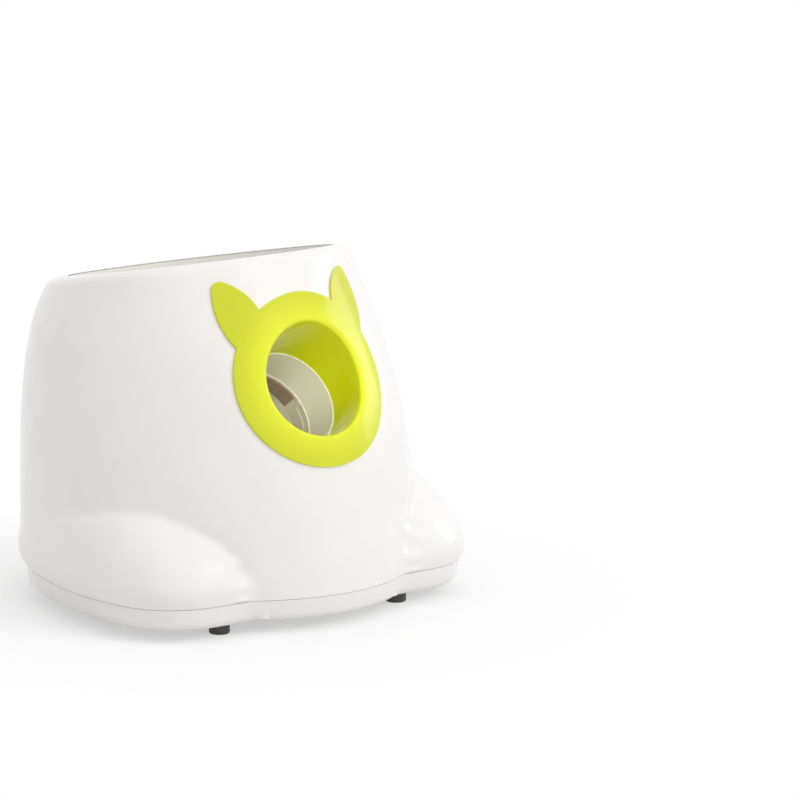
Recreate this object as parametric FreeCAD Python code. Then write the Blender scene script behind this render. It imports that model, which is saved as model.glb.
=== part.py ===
import FreeCAD, Part
import math
import os

from FreeCAD import Vector

# Automatic dog ball launcher.
# Frame: +Z up, the floor is z = 0, the middle of the footprint is the origin.
# The mouth faces -Y, and +X is the launcher's own left side.
# Angles round the housing start at the front and open towards +X.
# All lengths are millimetres and all angles are degrees.

# ---- base and feet -------------------------------------------------------------------------------
FOOT_HEIGHT = 7.0
FOOT_RADIUS = 5.75
FOOT_PLUG_RADIUS = 2.4
FOOT_SPREAD_X = 62.0
FOOT_FRONT_Y = -78.0
FOOT_REAR_Y = 72.0
BAND_HEIGHT = 12.5
BAND_EDGE_RADIUS = 4.5
BAND_TAPER = 2.0
TRAY_FLOOR = 2.5
TRAY_WALL = 2.4
TONGUE_HEIGHT = 3.0
TONGUE_THICKNESS = 1.2
SEAM_GAP = 0.25

# ---- outer form of the upper shell, heights above the seam ---------------------------------------
PROFILE_HEIGHT = 180.0
SIDE_REACH = 112.5
SIDE_DRAW_IN = 30.5
SIDE_POWER = 2.8
SIDE_TUCK = 3.8
TUCK_HEIGHT = 12.0
FRONT_REACH = 112.0
FRONT_LEAN = 0.09
FRONT_DRAW_IN = 43.0
FRONT_POWER = 2.6
FRONT_FULLNESS = 1.89
REAR_REACH = 111.8
REAR_DRAW_IN = 47.0
REAR_POWER = 7.4
REAR_FULLNESS = 2.0
RIM_HEIGHT = 170.5
RIM_SLOPE = 0.18
RIM_ROUNDING = 5.0
RIM_PLATE = 3.0
RIM_WIDTH = 9.0
SHELL_WALL = 2.6

# ---- haunches, the two lobes low on the sides ----------------------------------------------------
HAUNCH_CENTRE_X = 62.5
HAUNCH_CENTRE_Y = -32.2
HAUNCH_HALF_WIDTH = 54.0
HAUNCH_FRONT_LENGTH = 62.8
HAUNCH_REAR_LENGTH = 91.4
HAUNCH_FRONT_FULLNESS = 2.93
HAUNCH_REAR_FULLNESS = 1.94
HAUNCH_FULL_RELIEF = 23.0
HAUNCH_BULGE = 1.6
HAUNCH_HEIGHT = 47.0
HAUNCH_PEAK_ANGLE = 63.0
HAUNCH_FRONT_SPAN = 33.0
HAUNCH_FRONT_ROUND = 1.8
HAUNCH_REAR_SPAN = 80.0
HAUNCH_REAR_ROUND = 1.35
HAUNCH_DOME_POWER = 2.3
HAUNCH_SHOULDER = 2.4
HAUNCH_FADE = 12.0
HAUNCH_BLEND = 1.5

# ---- mouth and launch tube -----------------------------------------------------------------------
MOUTH_SETBACK = 0.5
MOUTH_HEIGHT = 135.6
MOUTH_PLANE_TILT = 25.5
TUBE_TILT = 33.0
MOUTH_BORE = 31.6
MOUTH_ROUNDING = 2.3
TRIM_RADIUS = 49.2
TRIM_PROUD = 1.6
TRIM_TUBE_LENGTH = 32.0
TRIM_TUBE_BORE = 29.4
TRIM_TUBE_WALL = 2.0
TRIM_CLEARANCE = 0.3
EAR_TIP = (43.0, 62.6)
EAR_OUTER_BULGE = (48.0, 46.0)
EAR_OUTER_ROOT = (43.0, 24.0)
EAR_INNER_BULGE = (30.6, 53.6)
EAR_INNER_ROOT = (25.4, 42.1)
EAR_TIP_RADIUS = 3.6
LINER_BORE = 28.8
LINER_WALL = 2.0
LINER_END = 56.5
LINER_SOCKET_OVERLAP = 4.0
SOCKET_FLARE = 1.6
FIT_GAP = 0.15

# ---- ball and cradle -----------------------------------------------------------------------------
CRADLE_BORE = 28.5
CRADLE_WALL = 2.0
CRADLE_START = 58.0
CRADLE_END = 139.0
CRADLE_REAR_WALL = 2.5
CRADLE_SOCKET_LENGTH = 6.0
SLOT_HALF_WIDTH = 15.0
SLOT_START = 74.0
SLOT_TOP = 15.0
CHUTE_Y = 13.0
CHUTE_BORE = 27.5
CHUTE_WALL = 1.8
CHUTE_TOP = 133.0
SPIGOT_DEPTH = 6.0
SPIGOT_WALL = 1.8
BOWL_FLOOR = 136.0
BOWL_WALL = 2.2
BOWL_STEP = 1.2
BOWL_FLANGE_WIDTH = 4.5
BOWL_FLANGE_THICKNESS = 2.0
BOWL_GAP = 0.3
LEG_RADIUS = 3.5
FRONT_LEG = (28.0, -44.0)
REAR_LEG = (19.6, 50.5)
FRONT_LEG_DROP = 14.0
REAR_LEG_RISE = 22.0
FELT_THICKNESS = 1.0
FELT_LENGTH = 9.0
WINDOW_LENGTH = 15.0
WINDOW_WIDTH = 7.0
WINDOW_DEPTH = 61.5
SENSOR_SIZE = 10.0
SENSOR_REACH = 7.0

# ---- hammer --------------------------------------------------------------------------------------
HAMMER_FOOT_DEPTH = 112.0
HAMMER_DROP = 50.0
HAMMER_STROKE = 82.0
HAMMER_LENGTH = 51.0
HAMMER_BLADE_WIDTH = 8.0
HAMMER_BLADE_THICKNESS = 7.0
HAMMER_HUB_RADIUS = 7.0
HAMMER_HUB_START = -5.0
PADDLE_HALF_WIDTH = 12.0
PADDLE_HALF_LENGTH = 12.0
PADDLE_THICKNESS = 4.0
PAD_THICKNESS = 3.0
AXLE_RADIUS = 3.0
RUNNING_GAP = 0.06
BUSH_RADIUS = 5.0
BUSH_FLANGE_RADIUS = 6.5
BUSH_FLANGE = 1.0
CLIP_THICKNESS = 0.8
CLIP_RIM = 1.6
SPRING_WIRE = 1.6
SPRING_COIL_RADIUS = 5.6
SPRING_TURNS = 3.6
SPRING_START = -12.8
SPRING_FOOT = 14.0
SPRING_PEG_RADIUS = 1.5
BUMPER_SIZE = (14.0, 10.0, 14.0)

# ---- gear train, all axles run along X -----------------------------------------------------------
PRESSURE_ANGLE = 20.0
BACKLASH = 0.14
ADDENDUM = 0.85
DEDENDUM = 1.25
SECTOR_MODULE = 1.0
SECTOR_TEETH = 32
SECTOR_MARGIN = 20.0
DRIVE_PINION_TEETH = 16
DRIVE_MODULE = 0.8
DRIVE_WHEEL_TEETH = 44
SECOND_PINION_TEETH = 12
FINE_MODULE = 0.6
SECOND_WHEEL_TEETH = 44
FIRST_PINION_TEETH = 12
FIRST_WHEEL_TEETH = 40
MOTOR_PINION_TEETH = 12
DRIVE_DIRECTION = 5.0
SECOND_DIRECTION = -6.0
FIRST_DIRECTION = 50.0
MOTOR_DIRECTION = -15.0
DRIVE_SHAFT_RADIUS = 2.0
SMALL_SHAFT_RADIUS = 1.5
PLATE_THICKNESS = 1.5
INNER_PLATE_X = 13.0
SECTOR_X = 15.5
SECTOR_WIDTH = 5.0
MIDDLE_PLATE_X = 25.6
DRIVE_WHEEL_X = 28.0
WHEEL_WIDTH = 3.4
LAYER_GAP = 0.8
OUTER_PLATE_GAP = 0.9
LEFT_BRACKET_X = -15.5
FLANGE_WIDTH = 8.0
FLANGE_SCREW_BITE = 2.0
SPACER_RADIUS = 3.0
SPACER_LIFT = 6.2
SPACER_BEFORE_PIVOT = 10.5
SPACER_BEFORE_SECOND = 6.0
SPACER_BEFORE_MOTOR = 2.0
SPACER_BEYOND_FIRST = (21.0, 13.0)
SPACER_SCREW_LENGTH = 10.0
PLATE_FRONT_MARGIN = 16.0
PLATE_TOP_MARGIN = 17.0
BRACKET_REAR_MARGIN = 18.0
BRACKET_TOP_HALF = 9.0
BRACKET_TOP_MARGIN = 10.0
INNER_PLATE_REAR_MARGIN = 9.0
INNER_PLATE_TOP_HALF = 8.0
INNER_PLATE_TOP_MARGIN = 13.0
INNER_PLATE_SHOULDER = (4.0, 5.0)
MIDDLE_PLATE_START = 11.5
MIDDLE_PLATE_REAR_MARGIN = 25.0
MIDDLE_PLATE_STEP = (2.0, 10.0)
MIDDLE_PLATE_RISE = 3.0
MIDDLE_FLANGE_MARGIN = 6.0
OUTER_PLATE_REAR_MARGIN = 3.0
OUTER_PLATE_SHOULDER = 14.0
OUTER_FLANGE_START = 8.0
CRADLE_CLEARANCE = 1.0
FLANGE_SCREW_GAP = 0.4
FLANGE_SCREW_FRONT = 9.0
FLANGE_SCREW_REAR = 13.0
OUTER_FLANGE_SCREW = 14.0
MIDDLE_FLANGE_SCREW = 4.0
HUB_CLEARANCE = 0.6
SCREW_RADIUS = 1.25
SCREW_HEAD_RADIUS = 2.4
SCREW_HEAD_HEIGHT = 1.6

# ---- motor ---------------------------------------------------------------------------------------
MOTOR_RADIUS = 13.8
MOTOR_LENGTH = 36.0
MOTOR_BOSS_RADIUS = 5.0
MOTOR_SHAFT_RADIUS = 1.15
MOTOR_END_CAP = 3.0
MOTOR_TERMINAL = (0.6, 3.0, 5.0)
MOTOR_SCREW_CIRCLE = 9.0

# ---- battery bays --------------------------------------------------------------------------------
CELL_RADIUS = 13.1
CELL_LENGTH = 48.3
CELL_NUB_RADIUS = 3.2
CELL_NUB_HEIGHT = 1.7
CELL_PITCH = 27.4
CELL_COUNT = 3
CELL_FIRST_Y = -55.2
CELL_INNER_X = 50.0
CELL_LIFT = 1.0
CONTACT_SPRING_LENGTH = 3.4
CONTACT_SPRING_RADIUS = 5.0
CONTACT_WIRE = 0.8
CONTACT_PLATE = 0.4
HOLDER_WALL = 1.5
HOLDER_GAP = 0.4
DOOR_THICKNESS = 2.0
DOOR_GAP = 0.3
DOOR_LEDGE = 1.6
DOOR_BOSS_RADIUS = 4.2
DOOR_RECESS = 1.0

# ---- rear control panel --------------------------------------------------------------------------
PANEL_HALF_WIDTH = 31.0
PANEL_BOTTOM = 44.0
PANEL_TOP = 78.0
PANEL_CORNER = 7.0
PANEL_PROUD = 1.2
BUTTON_RADIUS = 5.6
BUTTON_GAP = 0.35
BUTTON_X = 16.0
BUTTON_HEIGHT = 63.0
BUTTON_PROUD = 2.2
BUTTON_TRAVEL = 1.2
BUTTON_FLANGE_RADIUS = 7.2
BUTTON_FLANGE = 1.2
BUTTON_STEM_RADIUS = 2.0
DOME_FOOT_RADIUS = 5.6
DOME_TOP_RADIUS = 4.2
DOME_WALL = 0.8
LAMP_RADIUS = 1.5
LAMP_HEIGHT = 72.5
LAMP_PITCH = 8.0
LAMP_CHIP = (3.2, 1.2, 2.0)
JACK_HEIGHT = 50.5
JACK_BARREL_RADIUS = 4.2
JACK_BORE = 3.1
JACK_PIN_RADIUS = 1.0
JACK_BODY = (9.0, 12.0, 10.0)
BOARD_THICKNESS = 1.6
BOARD_SETBACK = 19.8
BOARD_HALF_WIDTH = 30.0
BOARD_BOTTOM = 42.0
BOARD_TOP = 84.0
TACT_SIZE = 6.0
TACT_HEIGHT = 3.6
TACT_PLUNGER_RADIUS = 1.7
TACT_PLUNGER = 0.8
POST_RADIUS = 3.0
BUZZER_RADIUS = 11.5
BUZZER_HEIGHT = 6.0
BUZZER_PLACE = (-28.0, -84.0)
OPTO_SIZE = (4.0, 14.0, 9.0)

# ---- housing bosses and screws -------------------------------------------------------------------
BOSS_RADIUS = 4.2
BOSS_HEIGHT = 24.0
BOSS_ANGLES = (25.0, 120.0, 155.0)
BOSS_OVERLAP = 1.2
BOSS_SCREW_LENGTH = 14.0
BOSS_RECESS = 3.0

# ---- worked out from the values above ------------------------------------------------------------
SEAM = FOOT_HEIGHT + BAND_HEIGHT
FLOOR_TOP = FOOT_HEIGHT + TRAY_FLOOR
BOARD_Y = REAR_REACH - BOARD_SETBACK
AROUND = 90
X_AXIS = Vector(1, 0, 0)
Y_AXIS = Vector(0, 1, 0)
Z_AXIS = Vector(0, 0, 1)


def sind(angle):
    return math.sin(math.radians(angle))


def cosd(angle):
    return math.cos(math.radians(angle))


def front_reach(rise):
    """Distance from the upright axis to the bell's front, at a height above the seam."""
    return FRONT_REACH - FRONT_LEAN * rise - FRONT_DRAW_IN * (rise / PROFILE_HEIGHT) ** FRONT_POWER


TUBE_IN = Vector(0, cosd(TUBE_TILT), -sind(TUBE_TILT))
TUBE_UP = Vector(0, sind(TUBE_TILT), cosd(TUBE_TILT))
MOUTH_OUT = Vector(0, -cosd(MOUTH_PLANE_TILT), sind(MOUTH_PLANE_TILT))
MOUTH_UP = Vector(0, sind(MOUTH_PLANE_TILT), cosd(MOUTH_PLANE_TILT))
MOUTH = Vector(0, MOUTH_SETBACK - front_reach(MOUTH_HEIGHT - SEAM), MOUTH_HEIGHT)


def tube_point(depth, up=0.0, side=0.0):
    """A point given along, above and beside the launch tube's axis."""
    return MOUTH + TUBE_IN * depth + TUBE_UP * up + X_AXIS * side


def mouth_point(side, up, out=0.0):
    """A point in the plane of the mouth, raised from it by out."""
    return MOUTH + X_AXIS * side + MOUTH_UP * up + MOUTH_OUT * out


PIVOT = tube_point(HAMMER_FOOT_DEPTH, -HAMMER_DROP)


def mesh_distance(module, teeth_a, teeth_b):
    return module * (teeth_a + teeth_b) / 2.0


def step_from(centre, distance, direction):
    """The next gear centre, at a direction measured from +Y towards +Z."""
    return Vector(0, centre.y + distance * cosd(direction), centre.z + distance * sind(direction))


DRIVE = step_from(PIVOT, mesh_distance(SECTOR_MODULE, SECTOR_TEETH, DRIVE_PINION_TEETH), DRIVE_DIRECTION)
SECOND = step_from(DRIVE, mesh_distance(DRIVE_MODULE, DRIVE_WHEEL_TEETH, SECOND_PINION_TEETH),
                   SECOND_DIRECTION)
FIRST = step_from(SECOND, mesh_distance(FINE_MODULE, SECOND_WHEEL_TEETH, FIRST_PINION_TEETH),
                  FIRST_DIRECTION)
MOTOR = step_from(FIRST, mesh_distance(FINE_MODULE, FIRST_WHEEL_TEETH, MOTOR_PINION_TEETH),
                  MOTOR_DIRECTION)

SECOND_WHEEL_X = DRIVE_WHEEL_X + WHEEL_WIDTH + LAYER_GAP
FIRST_WHEEL_X = SECOND_WHEEL_X + WHEEL_WIDTH + LAYER_GAP
OUTER_PLATE_X = FIRST_WHEEL_X + WHEEL_WIDTH + OUTER_PLATE_GAP
OUTER_PLATE_FACE = OUTER_PLATE_X + PLATE_THICKNESS


# ---- small helpers -------------------------------------------------------------------------------
def box(x0, x1, y0, y1, z0, z1):
    return Part.makeBox(x1 - x0, y1 - y0, z1 - z0, Vector(x0, y0, z0))


def cylinder_x(radius, x0, x1, centre):
    return Part.makeCylinder(radius, x1 - x0, Vector(x0, centre.y, centre.z), X_AXIS)


def cylinder_y(radius, x, y0, y1, z):
    return Part.makeCylinder(radius, y1 - y0, Vector(x, y0, z), Y_AXIS)


def cylinder_z(radius, x, y, z0, z1):
    return Part.makeCylinder(radius, z1 - z0, Vector(x, y, z0), Z_AXIS)


def tube_cylinder(radius, start, end):
    return Part.makeCylinder(radius, end - start, tube_point(start), TUBE_IN)


def prism(points, push):
    """The solid swept by a closed polygon along the vector push."""
    return Part.Face(Part.makePolygon(points + points[:1])).extrude(push)


def plate_x(outline, x0, x1):
    """A flat plate across X from an outline of (y, z) corners."""
    return prism([Vector(x0, y, z) for y, z in outline], Vector(x1 - x0, 0, 0))


def rounded_box_y(half_width, bottom, top, corner, y0, y1, x=0.0):
    """A block along Y whose section is a rounded rectangle."""
    block = box(x - half_width, x + half_width, y0, y1, bottom, top)
    edges = [e for e in block.Edges if abs(e.tangentAt(e.FirstParameter).y) > 0.99]
    return block.makeFillet(corner, edges)


def joined(shapes):
    """The union of touching solids as one clean solid."""
    return fused(shapes).removeSplitter()


def fused(shapes):
    """The union of touching solids, its faces left as they were."""
    return shapes[0].multiFuse(shapes[1:])


def both_sides(shape):
    """The shape with its mirror image across the middle plane."""
    return [shape, shape.mirror(Vector(0, 0, 0), X_AXIS)]


def screw(head, direction, length):
    """A pan head screw: the head's outer face is at head, and it points along direction."""
    top = Part.makeCylinder(SCREW_HEAD_RADIUS, SCREW_HEAD_HEIGHT, head, direction)
    shank_start = head + direction * SCREW_HEAD_HEIGHT
    shank = Part.makeCylinder(SCREW_RADIUS, length - SCREW_HEAD_HEIGHT, shank_start, direction)
    slot_long = SCREW_HEAD_RADIUS * 1.2
    slot_wide = SCREW_RADIUS * 0.4
    side = direction.cross(Vector(0.3, 0.5, 0.8)).normalize()
    across = direction.cross(side).normalize()
    cuts = []
    for long_way, short_way in ((side, across), (across, side)):
        corner = head - long_way * (slot_long / 2) - short_way * (slot_wide / 2)
        corners = [corner, corner + long_way * slot_long,
                   corner + long_way * slot_long + short_way * slot_wide,
                   corner + short_way * slot_wide]
        cuts.append(prism(corners, direction * (SCREW_HEAD_HEIGHT * 0.5)))
    return top.fuse(shank).cut(cuts[0].fuse(cuts[1]))


def coil(wire_radius, coil_radius, pitch, length, start, direction):
    """A round wire wound into a helix, starting at start and growing along direction."""
    helix = Part.makeHelix(pitch, length, coil_radius)
    section = Part.Wire(Part.makeCircle(wire_radius, Vector(coil_radius, 0, 0), Y_AXIS))
    turns = Part.Wire(helix).makePipeShell([section], True, False)
    turns.rotate(Vector(0, 0, 0), Z_AXIS.cross(direction), math.degrees(Z_AXIS.getAngle(direction)))
    turns.translate(start)
    return turns


# ---- outer form of the housing -------------------------------------------------------------------
def tuck(rise):
    """Share of the tuck-in towards the seam that is left at a height above it."""
    return max(0.0, 1 - rise / TUCK_HEIGHT) ** 2


def body_radius(angle, height):
    """Distance from the upright axis to the bell, at a height above the seam."""
    rise = max(height, 0.0)
    share = rise / PROFILE_HEIGHT
    side = SIDE_REACH - SIDE_DRAW_IN * share ** SIDE_POWER - SIDE_TUCK * tuck(rise)
    front = front_reach(rise)
    rear = REAR_REACH - REAR_DRAW_IN * share ** REAR_POWER
    centre = (rear - front) / 2
    depth = (rear + front) / 2
    low, high = 0.0, 2 * SIDE_REACH
    for _ in range(40):
        middle = (low + high) / 2
        x = abs(middle * sind(angle)) / side
        y = -middle * cosd(angle) - centre
        power = FRONT_FULLNESS if y < 0 else REAR_FULLNESS
        if x ** power + (abs(y) / depth) ** power > 1:
            high = middle
        else:
            low = middle
    return low


def lobe_reach(angle):
    """How far the lobe's outline at the seam stands out from the bell's; negative where it lies inside."""

    def outside(reach):
        x = (abs(reach * sind(angle)) - HAUNCH_CENTRE_X) / HAUNCH_HALF_WIDTH
        y = -reach * cosd(angle) - HAUNCH_CENTRE_Y
        if y < 0:
            return abs(x) ** HAUNCH_FRONT_FULLNESS + (-y / HAUNCH_FRONT_LENGTH) ** HAUNCH_FRONT_FULLNESS >= 1
        return abs(x) ** HAUNCH_REAR_FULLNESS + (y / HAUNCH_REAR_LENGTH) ** HAUNCH_REAR_FULLNESS >= 1

    bell = body_radius(angle, 0.0)
    low = HAUNCH_CENTRE_X + HAUNCH_HALF_WIDTH + HAUNCH_FRONT_LENGTH
    while low > bell / 2 and outside(low):
        low -= 1.0
    high = low + 1.0
    for _ in range(30):
        middle = (low + high) / 2
        if outside(middle):
            high = middle
        else:
            low = middle
    return low - bell


def haunch_top(angle):
    """Height above the seam at which the lobe runs out on the bell."""
    turn = min(angle % 360.0, -angle % 360.0)
    if turn < HAUNCH_PEAK_ANGLE:
        share, power = (HAUNCH_PEAK_ANGLE - turn) / HAUNCH_FRONT_SPAN, HAUNCH_FRONT_ROUND
    else:
        share, power = (turn - HAUNCH_PEAK_ANGLE) / HAUNCH_REAR_SPAN, HAUNCH_REAR_ROUND
    if share >= 1:
        return 0.0
    return HAUNCH_HEIGHT * (1 - share ** power) ** (1 / power)


def soft_positive(value, softness):
    """The value where it is well above zero, and a smooth run-out to nothing below."""
    if value > 30 * softness:
        return value
    return softness * math.log(1 + math.exp(value / softness))


def haunch_relief(angle, height):
    """How far the lobe stands out from the bell at a height above the seam."""
    top = haunch_top(angle)
    if top <= 0:
        return 0.0
    rise = max(height, 0.0)
    lobe = soft_positive(lobe_reach(angle), HAUNCH_BLEND)
    fade = min(1.0, top / HAUNCH_FADE)
    reach = (lobe + HAUNCH_BULGE * (1 - tuck(rise))) * fade * fade * (3 - 2 * fade)
    if reach <= 0.01:
        return 0.0
    shoulder = 1 + (HAUNCH_SHOULDER - 1) * (1 - min(1.0, lobe / HAUNCH_FULL_RELIEF))
    left = 1 - (rise / top) ** HAUNCH_DOME_POWER
    dome = left ** (1 / shoulder) if left > 0 else left
    softness = HAUNCH_BLEND * reach / (reach + HAUNCH_BLEND)
    return soft_positive(reach * dome, softness)


def housing_radius(angle, height):
    """The bell and the haunch joined by a soft valley."""
    return body_radius(angle, height) + haunch_relief(angle, height)


def ring_angles():
    return [360.0 * k / AROUND for k in range(AROUND)]


def level_ring(height, offset=0.0):
    """Points round the housing at one height above the seam."""
    ring = []
    for angle in ring_angles():
        reach = housing_radius(angle, height) + offset
        ring.append(Vector(reach * sind(angle), -reach * cosd(angle), SEAM + height))
    return ring


def rim_ring(drop, offset=0.0):
    """Points round the housing at one drop below the sloping rim plane."""
    ring = []
    for angle in ring_angles():
        y = 0.0
        for _ in range(12):
            height = RIM_HEIGHT - RIM_SLOPE * y - drop
            y = -(housing_radius(angle, height) + offset) * cosd(angle)
        height = RIM_HEIGHT - RIM_SLOPE * y - drop
        reach = housing_radius(angle, height) + offset
        ring.append(Vector(reach * sind(angle), -reach * cosd(angle), SEAM + height))
    return ring


def blended_ring(low_ring, high_ring, share, offset):
    """Points round the housing between a level ring and the sloping rim."""
    ring = []
    for angle, low, high in zip(ring_angles(), low_ring, high_ring):
        height = low.z + (high.z - low.z) * share - SEAM
        reach = housing_radius(angle, height) + offset
        ring.append(Vector(reach * sind(angle), -reach * cosd(angle), SEAM + height))
    return ring


def ring_wire(points):
    curve = Part.BSplineCurve()
    steps = [k / AROUND for k in range(AROUND + 1)]
    curve.interpolate(Points=points, PeriodicFlag=True, Parameters=steps)
    return Part.Wire(curve.toShape())


def lofted(rings):
    return Part.makeLoft([ring_wire(ring) for ring in rings], True, False)


def housing_form(offset, top_drop, rounding):
    """The solid inside the housing's outer form, grown by offset and closed at the rim."""
    lower_step = HAUNCH_HEIGHT / 14
    levels = [lower_step * k for k in range(17)]
    rings = [level_ring(height, offset) for height in levels]
    low = level_ring(levels[-1], offset)
    high = rim_ring(rounding + top_drop, offset)
    for share in (0.18, 0.36, 0.52, 0.66, 0.78, 0.88, 0.95):
        rings.append(blended_ring(low, high, share, offset))
    rings.append(high)
    if rounding > 0:
        for turn in (25.0, 50.0, 72.0, 90.0):
            inset = rounding * (1 - cosd(turn))
            drop = rounding * (1 - sind(turn)) + top_drop
            rings.append(rim_ring(drop, offset - inset))
    return lofted(rings)


def rim_plug(offset, top_drop, bottom_drop):
    """A thick slice parallel to the rim, its outline offset from the housing's."""
    steps = max(1, math.ceil(bottom_drop - top_drop))
    drops = [top_drop + (bottom_drop - top_drop) * k / steps for k in range(steps + 1)]
    return lofted([rim_ring(drop, offset) for drop in reversed(drops)])


# ---- upper shell ---------------------------------------------------------------------------------
def boss_places():
    """The middle of each housing boss on the launcher's right, as (x, y)."""
    places = []
    for angle in BOSS_ANGLES:
        reach = body_radius(angle, 0.0) - SHELL_WALL - BOSS_RADIUS + BOSS_OVERLAP
        places.append((-reach * sind(angle), -reach * cosd(angle)))
    return places


def boss_pillars(radius, z0, z1):
    """An upright cylinder at every housing boss."""
    pillars = []
    for x, y in boss_places():
        pillars += both_sides(cylinder_z(radius, x, y, z0, z1))
    return pillars


def post_places():
    """The four corners of the control board, as (x, z)."""
    inset = POST_RADIUS + 1.0
    places = []
    for x in (-BOARD_HALF_WIDTH + inset, BOARD_HALF_WIDTH - inset):
        for z in (BOARD_BOTTOM + inset, BOARD_TOP - inset):
            places.append((x, z))
    return places


def mouth_cone(front_radius, back_radius):
    """The tapered solid on the launch tube's axis, from in front of the mouth inwards."""
    ahead = 12.0
    spread = (front_radius - back_radius) / TRIM_TUBE_LENGTH
    front = Part.makeCircle(front_radius + spread * ahead, tube_point(-ahead), MOUTH_OUT)
    back = Part.makeCircle(back_radius, tube_point(TRIM_TUBE_LENGTH), TUBE_IN.negative())
    return Part.makeLoft([Part.Wire(front), Part.Wire(back)], True, True)


def trim_tube(clearance):
    """The outside of the trim's tube."""
    return mouth_cone(MOUTH_BORE + TRIM_TUBE_WALL + clearance, TRIM_TUBE_BORE + TRIM_TUBE_WALL + clearance)


def make_upper_shell(outer):
    """The bell with its haunches: open below, with a wide round opening in its sloping top."""
    room = housing_form(-SHELL_WALL, RIM_PLATE, 0.0)
    for pillar in boss_pillars(BOSS_RADIUS, SEAM - 1.0, SEAM + BOSS_HEIGHT):
        room = room.cut(pillar)
    for x, z in post_places():
        room = room.cut(cylinder_y(POST_RADIUS, x, BOARD_Y + BOARD_THICKNESS, REAR_REACH + 3.0, z))
    shell = outer.cut(room).cut(rim_plug(-RIM_WIDTH, -1.0, RIM_PLATE + 1.0))
    cuts = [trim_tube(TRIM_CLEARANCE)] + boss_pillars(SCREW_RADIUS, SEAM, SEAM + BOSS_SCREW_LENGTH)
    for x, z in post_places():
        cuts.append(cylinder_y(SCREW_RADIUS, x, BOARD_Y, BOARD_Y + BOARD_THICKNESS + 6.0, z))
    for x in (-BUTTON_X, BUTTON_X):
        cuts.append(cylinder_y(BUTTON_FLANGE_RADIUS + BUTTON_GAP, x, BOARD_Y + 8.0, REAR_REACH + 5.0,
                               BUTTON_HEIGHT))
    for x in lamp_places():
        cuts.append(cylinder_y(LAMP_RADIUS + FIT_GAP, x, BOARD_Y + 8.0, REAR_REACH + 5.0, LAMP_HEIGHT))
    cuts.append(cylinder_y(JACK_BARREL_RADIUS + FIT_GAP, 0, BOARD_Y + 8.0, REAR_REACH + 5.0, JACK_HEIGHT))
    for cut in cuts:
        shell = shell.cut(cut)
    return shell


# ---- base tray -----------------------------------------------------------------------------------
def band_ring(height, offset):
    """Points round the base band: the seam's outline, rounded in at the bottom edge."""
    reach_in = offset - BAND_TAPER * max(-height, 0.0) / BAND_HEIGHT
    low = -BAND_HEIGHT + BAND_EDGE_RADIUS
    if height < low:
        down = min((low - height) / BAND_EDGE_RADIUS, 1.0)
        reach_in -= BAND_EDGE_RADIUS * (1 - math.sqrt(1 - down * down))
    ring = []
    for point in level_ring(0.0, reach_in):
        ring.append(Vector(point.x, point.y, SEAM + height))
    return ring


def door_corners(side):
    """The battery door's opening in the floor as (x0, x1, y0, y1)."""
    x0 = CELL_INNER_X - CONTACT_SPRING_LENGTH - CONTACT_PLATE
    x1 = CELL_INNER_X + CELL_LENGTH + CELL_NUB_HEIGHT + CONTACT_PLATE
    y0 = CELL_FIRST_Y - CELL_RADIUS - HOLDER_GAP
    y1 = CELL_FIRST_Y + (CELL_COUNT - 1) * CELL_PITCH + CELL_RADIUS + HOLDER_GAP
    if side < 0:
        return (-x1, -x0, y0, y1)
    return (x0, x1, y0, y1)


def foot_places():
    places = []
    for x in (-FOOT_SPREAD_X, FOOT_SPREAD_X):
        places.append((x, FOOT_FRONT_Y))
        places.append((x, FOOT_REAR_Y))
    return places


def door_screw_place(side):
    x0, x1, y0, y1 = door_corners(side)
    return (x0 + x1) / 2, y1 + HOLDER_WALL + HOLDER_GAP + DOOR_BOSS_RADIUS


def door_plate(side, gap, z0, z1):
    """The door's outline: the opening, its ledge and a rounded tongue for the screw."""
    x0, x1, y0, y1 = door_corners(side)
    grow = DOOR_LEDGE - gap
    slab = box(x0 - grow, x1 + grow, y0 - grow, y1 + grow, z0, z1)
    x, y = door_screw_place(side)
    radius = SCREW_HEAD_RADIUS + 2.4 - gap
    tongue = cylinder_z(radius, x, y, z0, z1)
    neck = box(x - radius, x + radius, y1, y, z0, z1)
    return joined([slab, tongue, neck])


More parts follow.
